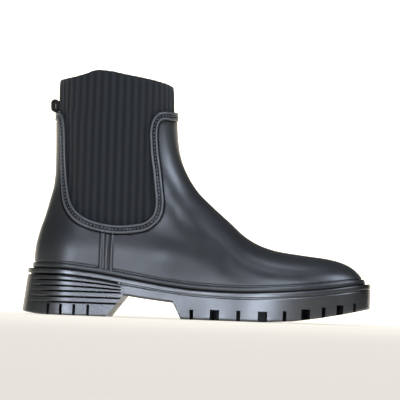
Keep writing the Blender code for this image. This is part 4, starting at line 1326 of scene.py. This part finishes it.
def make_studio():
    """Bluish panels for the gloss, two large panels for the boot and the paper, and a dim pale room."""
    for panel in GLOSS_PANELS:
        add_light(*panel, PANEL_COLOUR, fill=False)
    for panel in FILL_PANELS:
        add_light(*panel, shine=False)
    add_card("toe_card", CARD_NEAR, CARD_FAR, CARD_HEIGHT)
    world = bpy.data.worlds.new("studio")
    world.use_nodes = True
    backing = world.node_tree.nodes["Background"]
    backing.inputs["Color"].default_value = linear(ROOM_COLOUR)
    backing.inputs["Strength"].default_value = ROOM_LIGHT
    bpy.context.scene.world = world
    bpy.context.scene.view_settings.view_transform = "Standard"


def make_camera():
    """Camera near the floor at the outer side of the boot, turned a little so that the toe sits lower."""
    data = bpy.data.cameras.new("camera")
    data.lens = CAMERA_LENS
    camera = bpy.data.objects.new("camera", data)
    yaw = math.radians(CAMERA_YAW)
    target = Vector(CAMERA_TARGET)
    across, back = CAMERA_AWAY * math.sin(yaw), CAMERA_AWAY * math.cos(yaw)
    place = Vector((target.x + across, target.y - back, CAMERA_HEIGHT))
    aim = (target - place).to_track_quat("-Z", "Y").to_matrix()
    turn = aim @ Matrix.Rotation(math.radians(CAMERA_ROLL), 3, "Z")
    camera.matrix_world = Matrix.Translation(place) @ turn.to_4x4()
    bpy.context.scene.collection.objects.link(camera)
    bpy.context.scene.camera = camera


def seat(piece, slot, *nodes):
    """Let a piece ride with the boot and hide the solids it stands for. Its slot is not used."""
    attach(piece, "root")
    if nodes:
        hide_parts(*nodes)


upper_rubber = moulded_rubber("satin_pvc_rubber", "#282b2e", "#2e3134", roughness=0.35, grain_mm=0.9,
                              grain_depth_mm=0.02)
sole_rubber = moulded_rubber("sole_rubber", "#1d2022", "#232629", roughness=0.3, grain_mm=0.7,
                             grain_depth_mm=0.005, gloss_level=1.0)
# The stitches' lighter grey is a painted highlight standing in for their glints
stitch_painted_highlight = moulded_rubber("stitch_painted_highlight", "#4a4e54", "#54585e", roughness=0.3, grain_mm=0.9,
                               grain_depth_mm=0.02, marked=False)
# Darker colour is painted shade in the rib valleys, lighter colour painted light on the ribs
knit = rib_knit("black_rib_knit", "#1f2326", "#2c3035", RIB_PITCH)
webbing = woven_cloth("black_webbing", "#0b0c0d", "#141517", thread_mm=0.9)
lining = woven_cloth("insole_cloth", "#26272a", "#323438", thread_mm=0.8)

seat(make_outsole(sole_rubber), "sole_rubber", "outsole")
seat(make_upper(upper_rubber), "upper_rubber", "upper")
seat(make_stitches(stitch_painted_highlight), "upper_rubber")
seat(make_sock(knit), "knit", "knit_sock")
seat(make_insole(lining), "insole_cloth", "insole")
seat(make_pull_loop(webbing), "webbing", "pull_loop")

make_sweep()
make_studio()
make_camera()
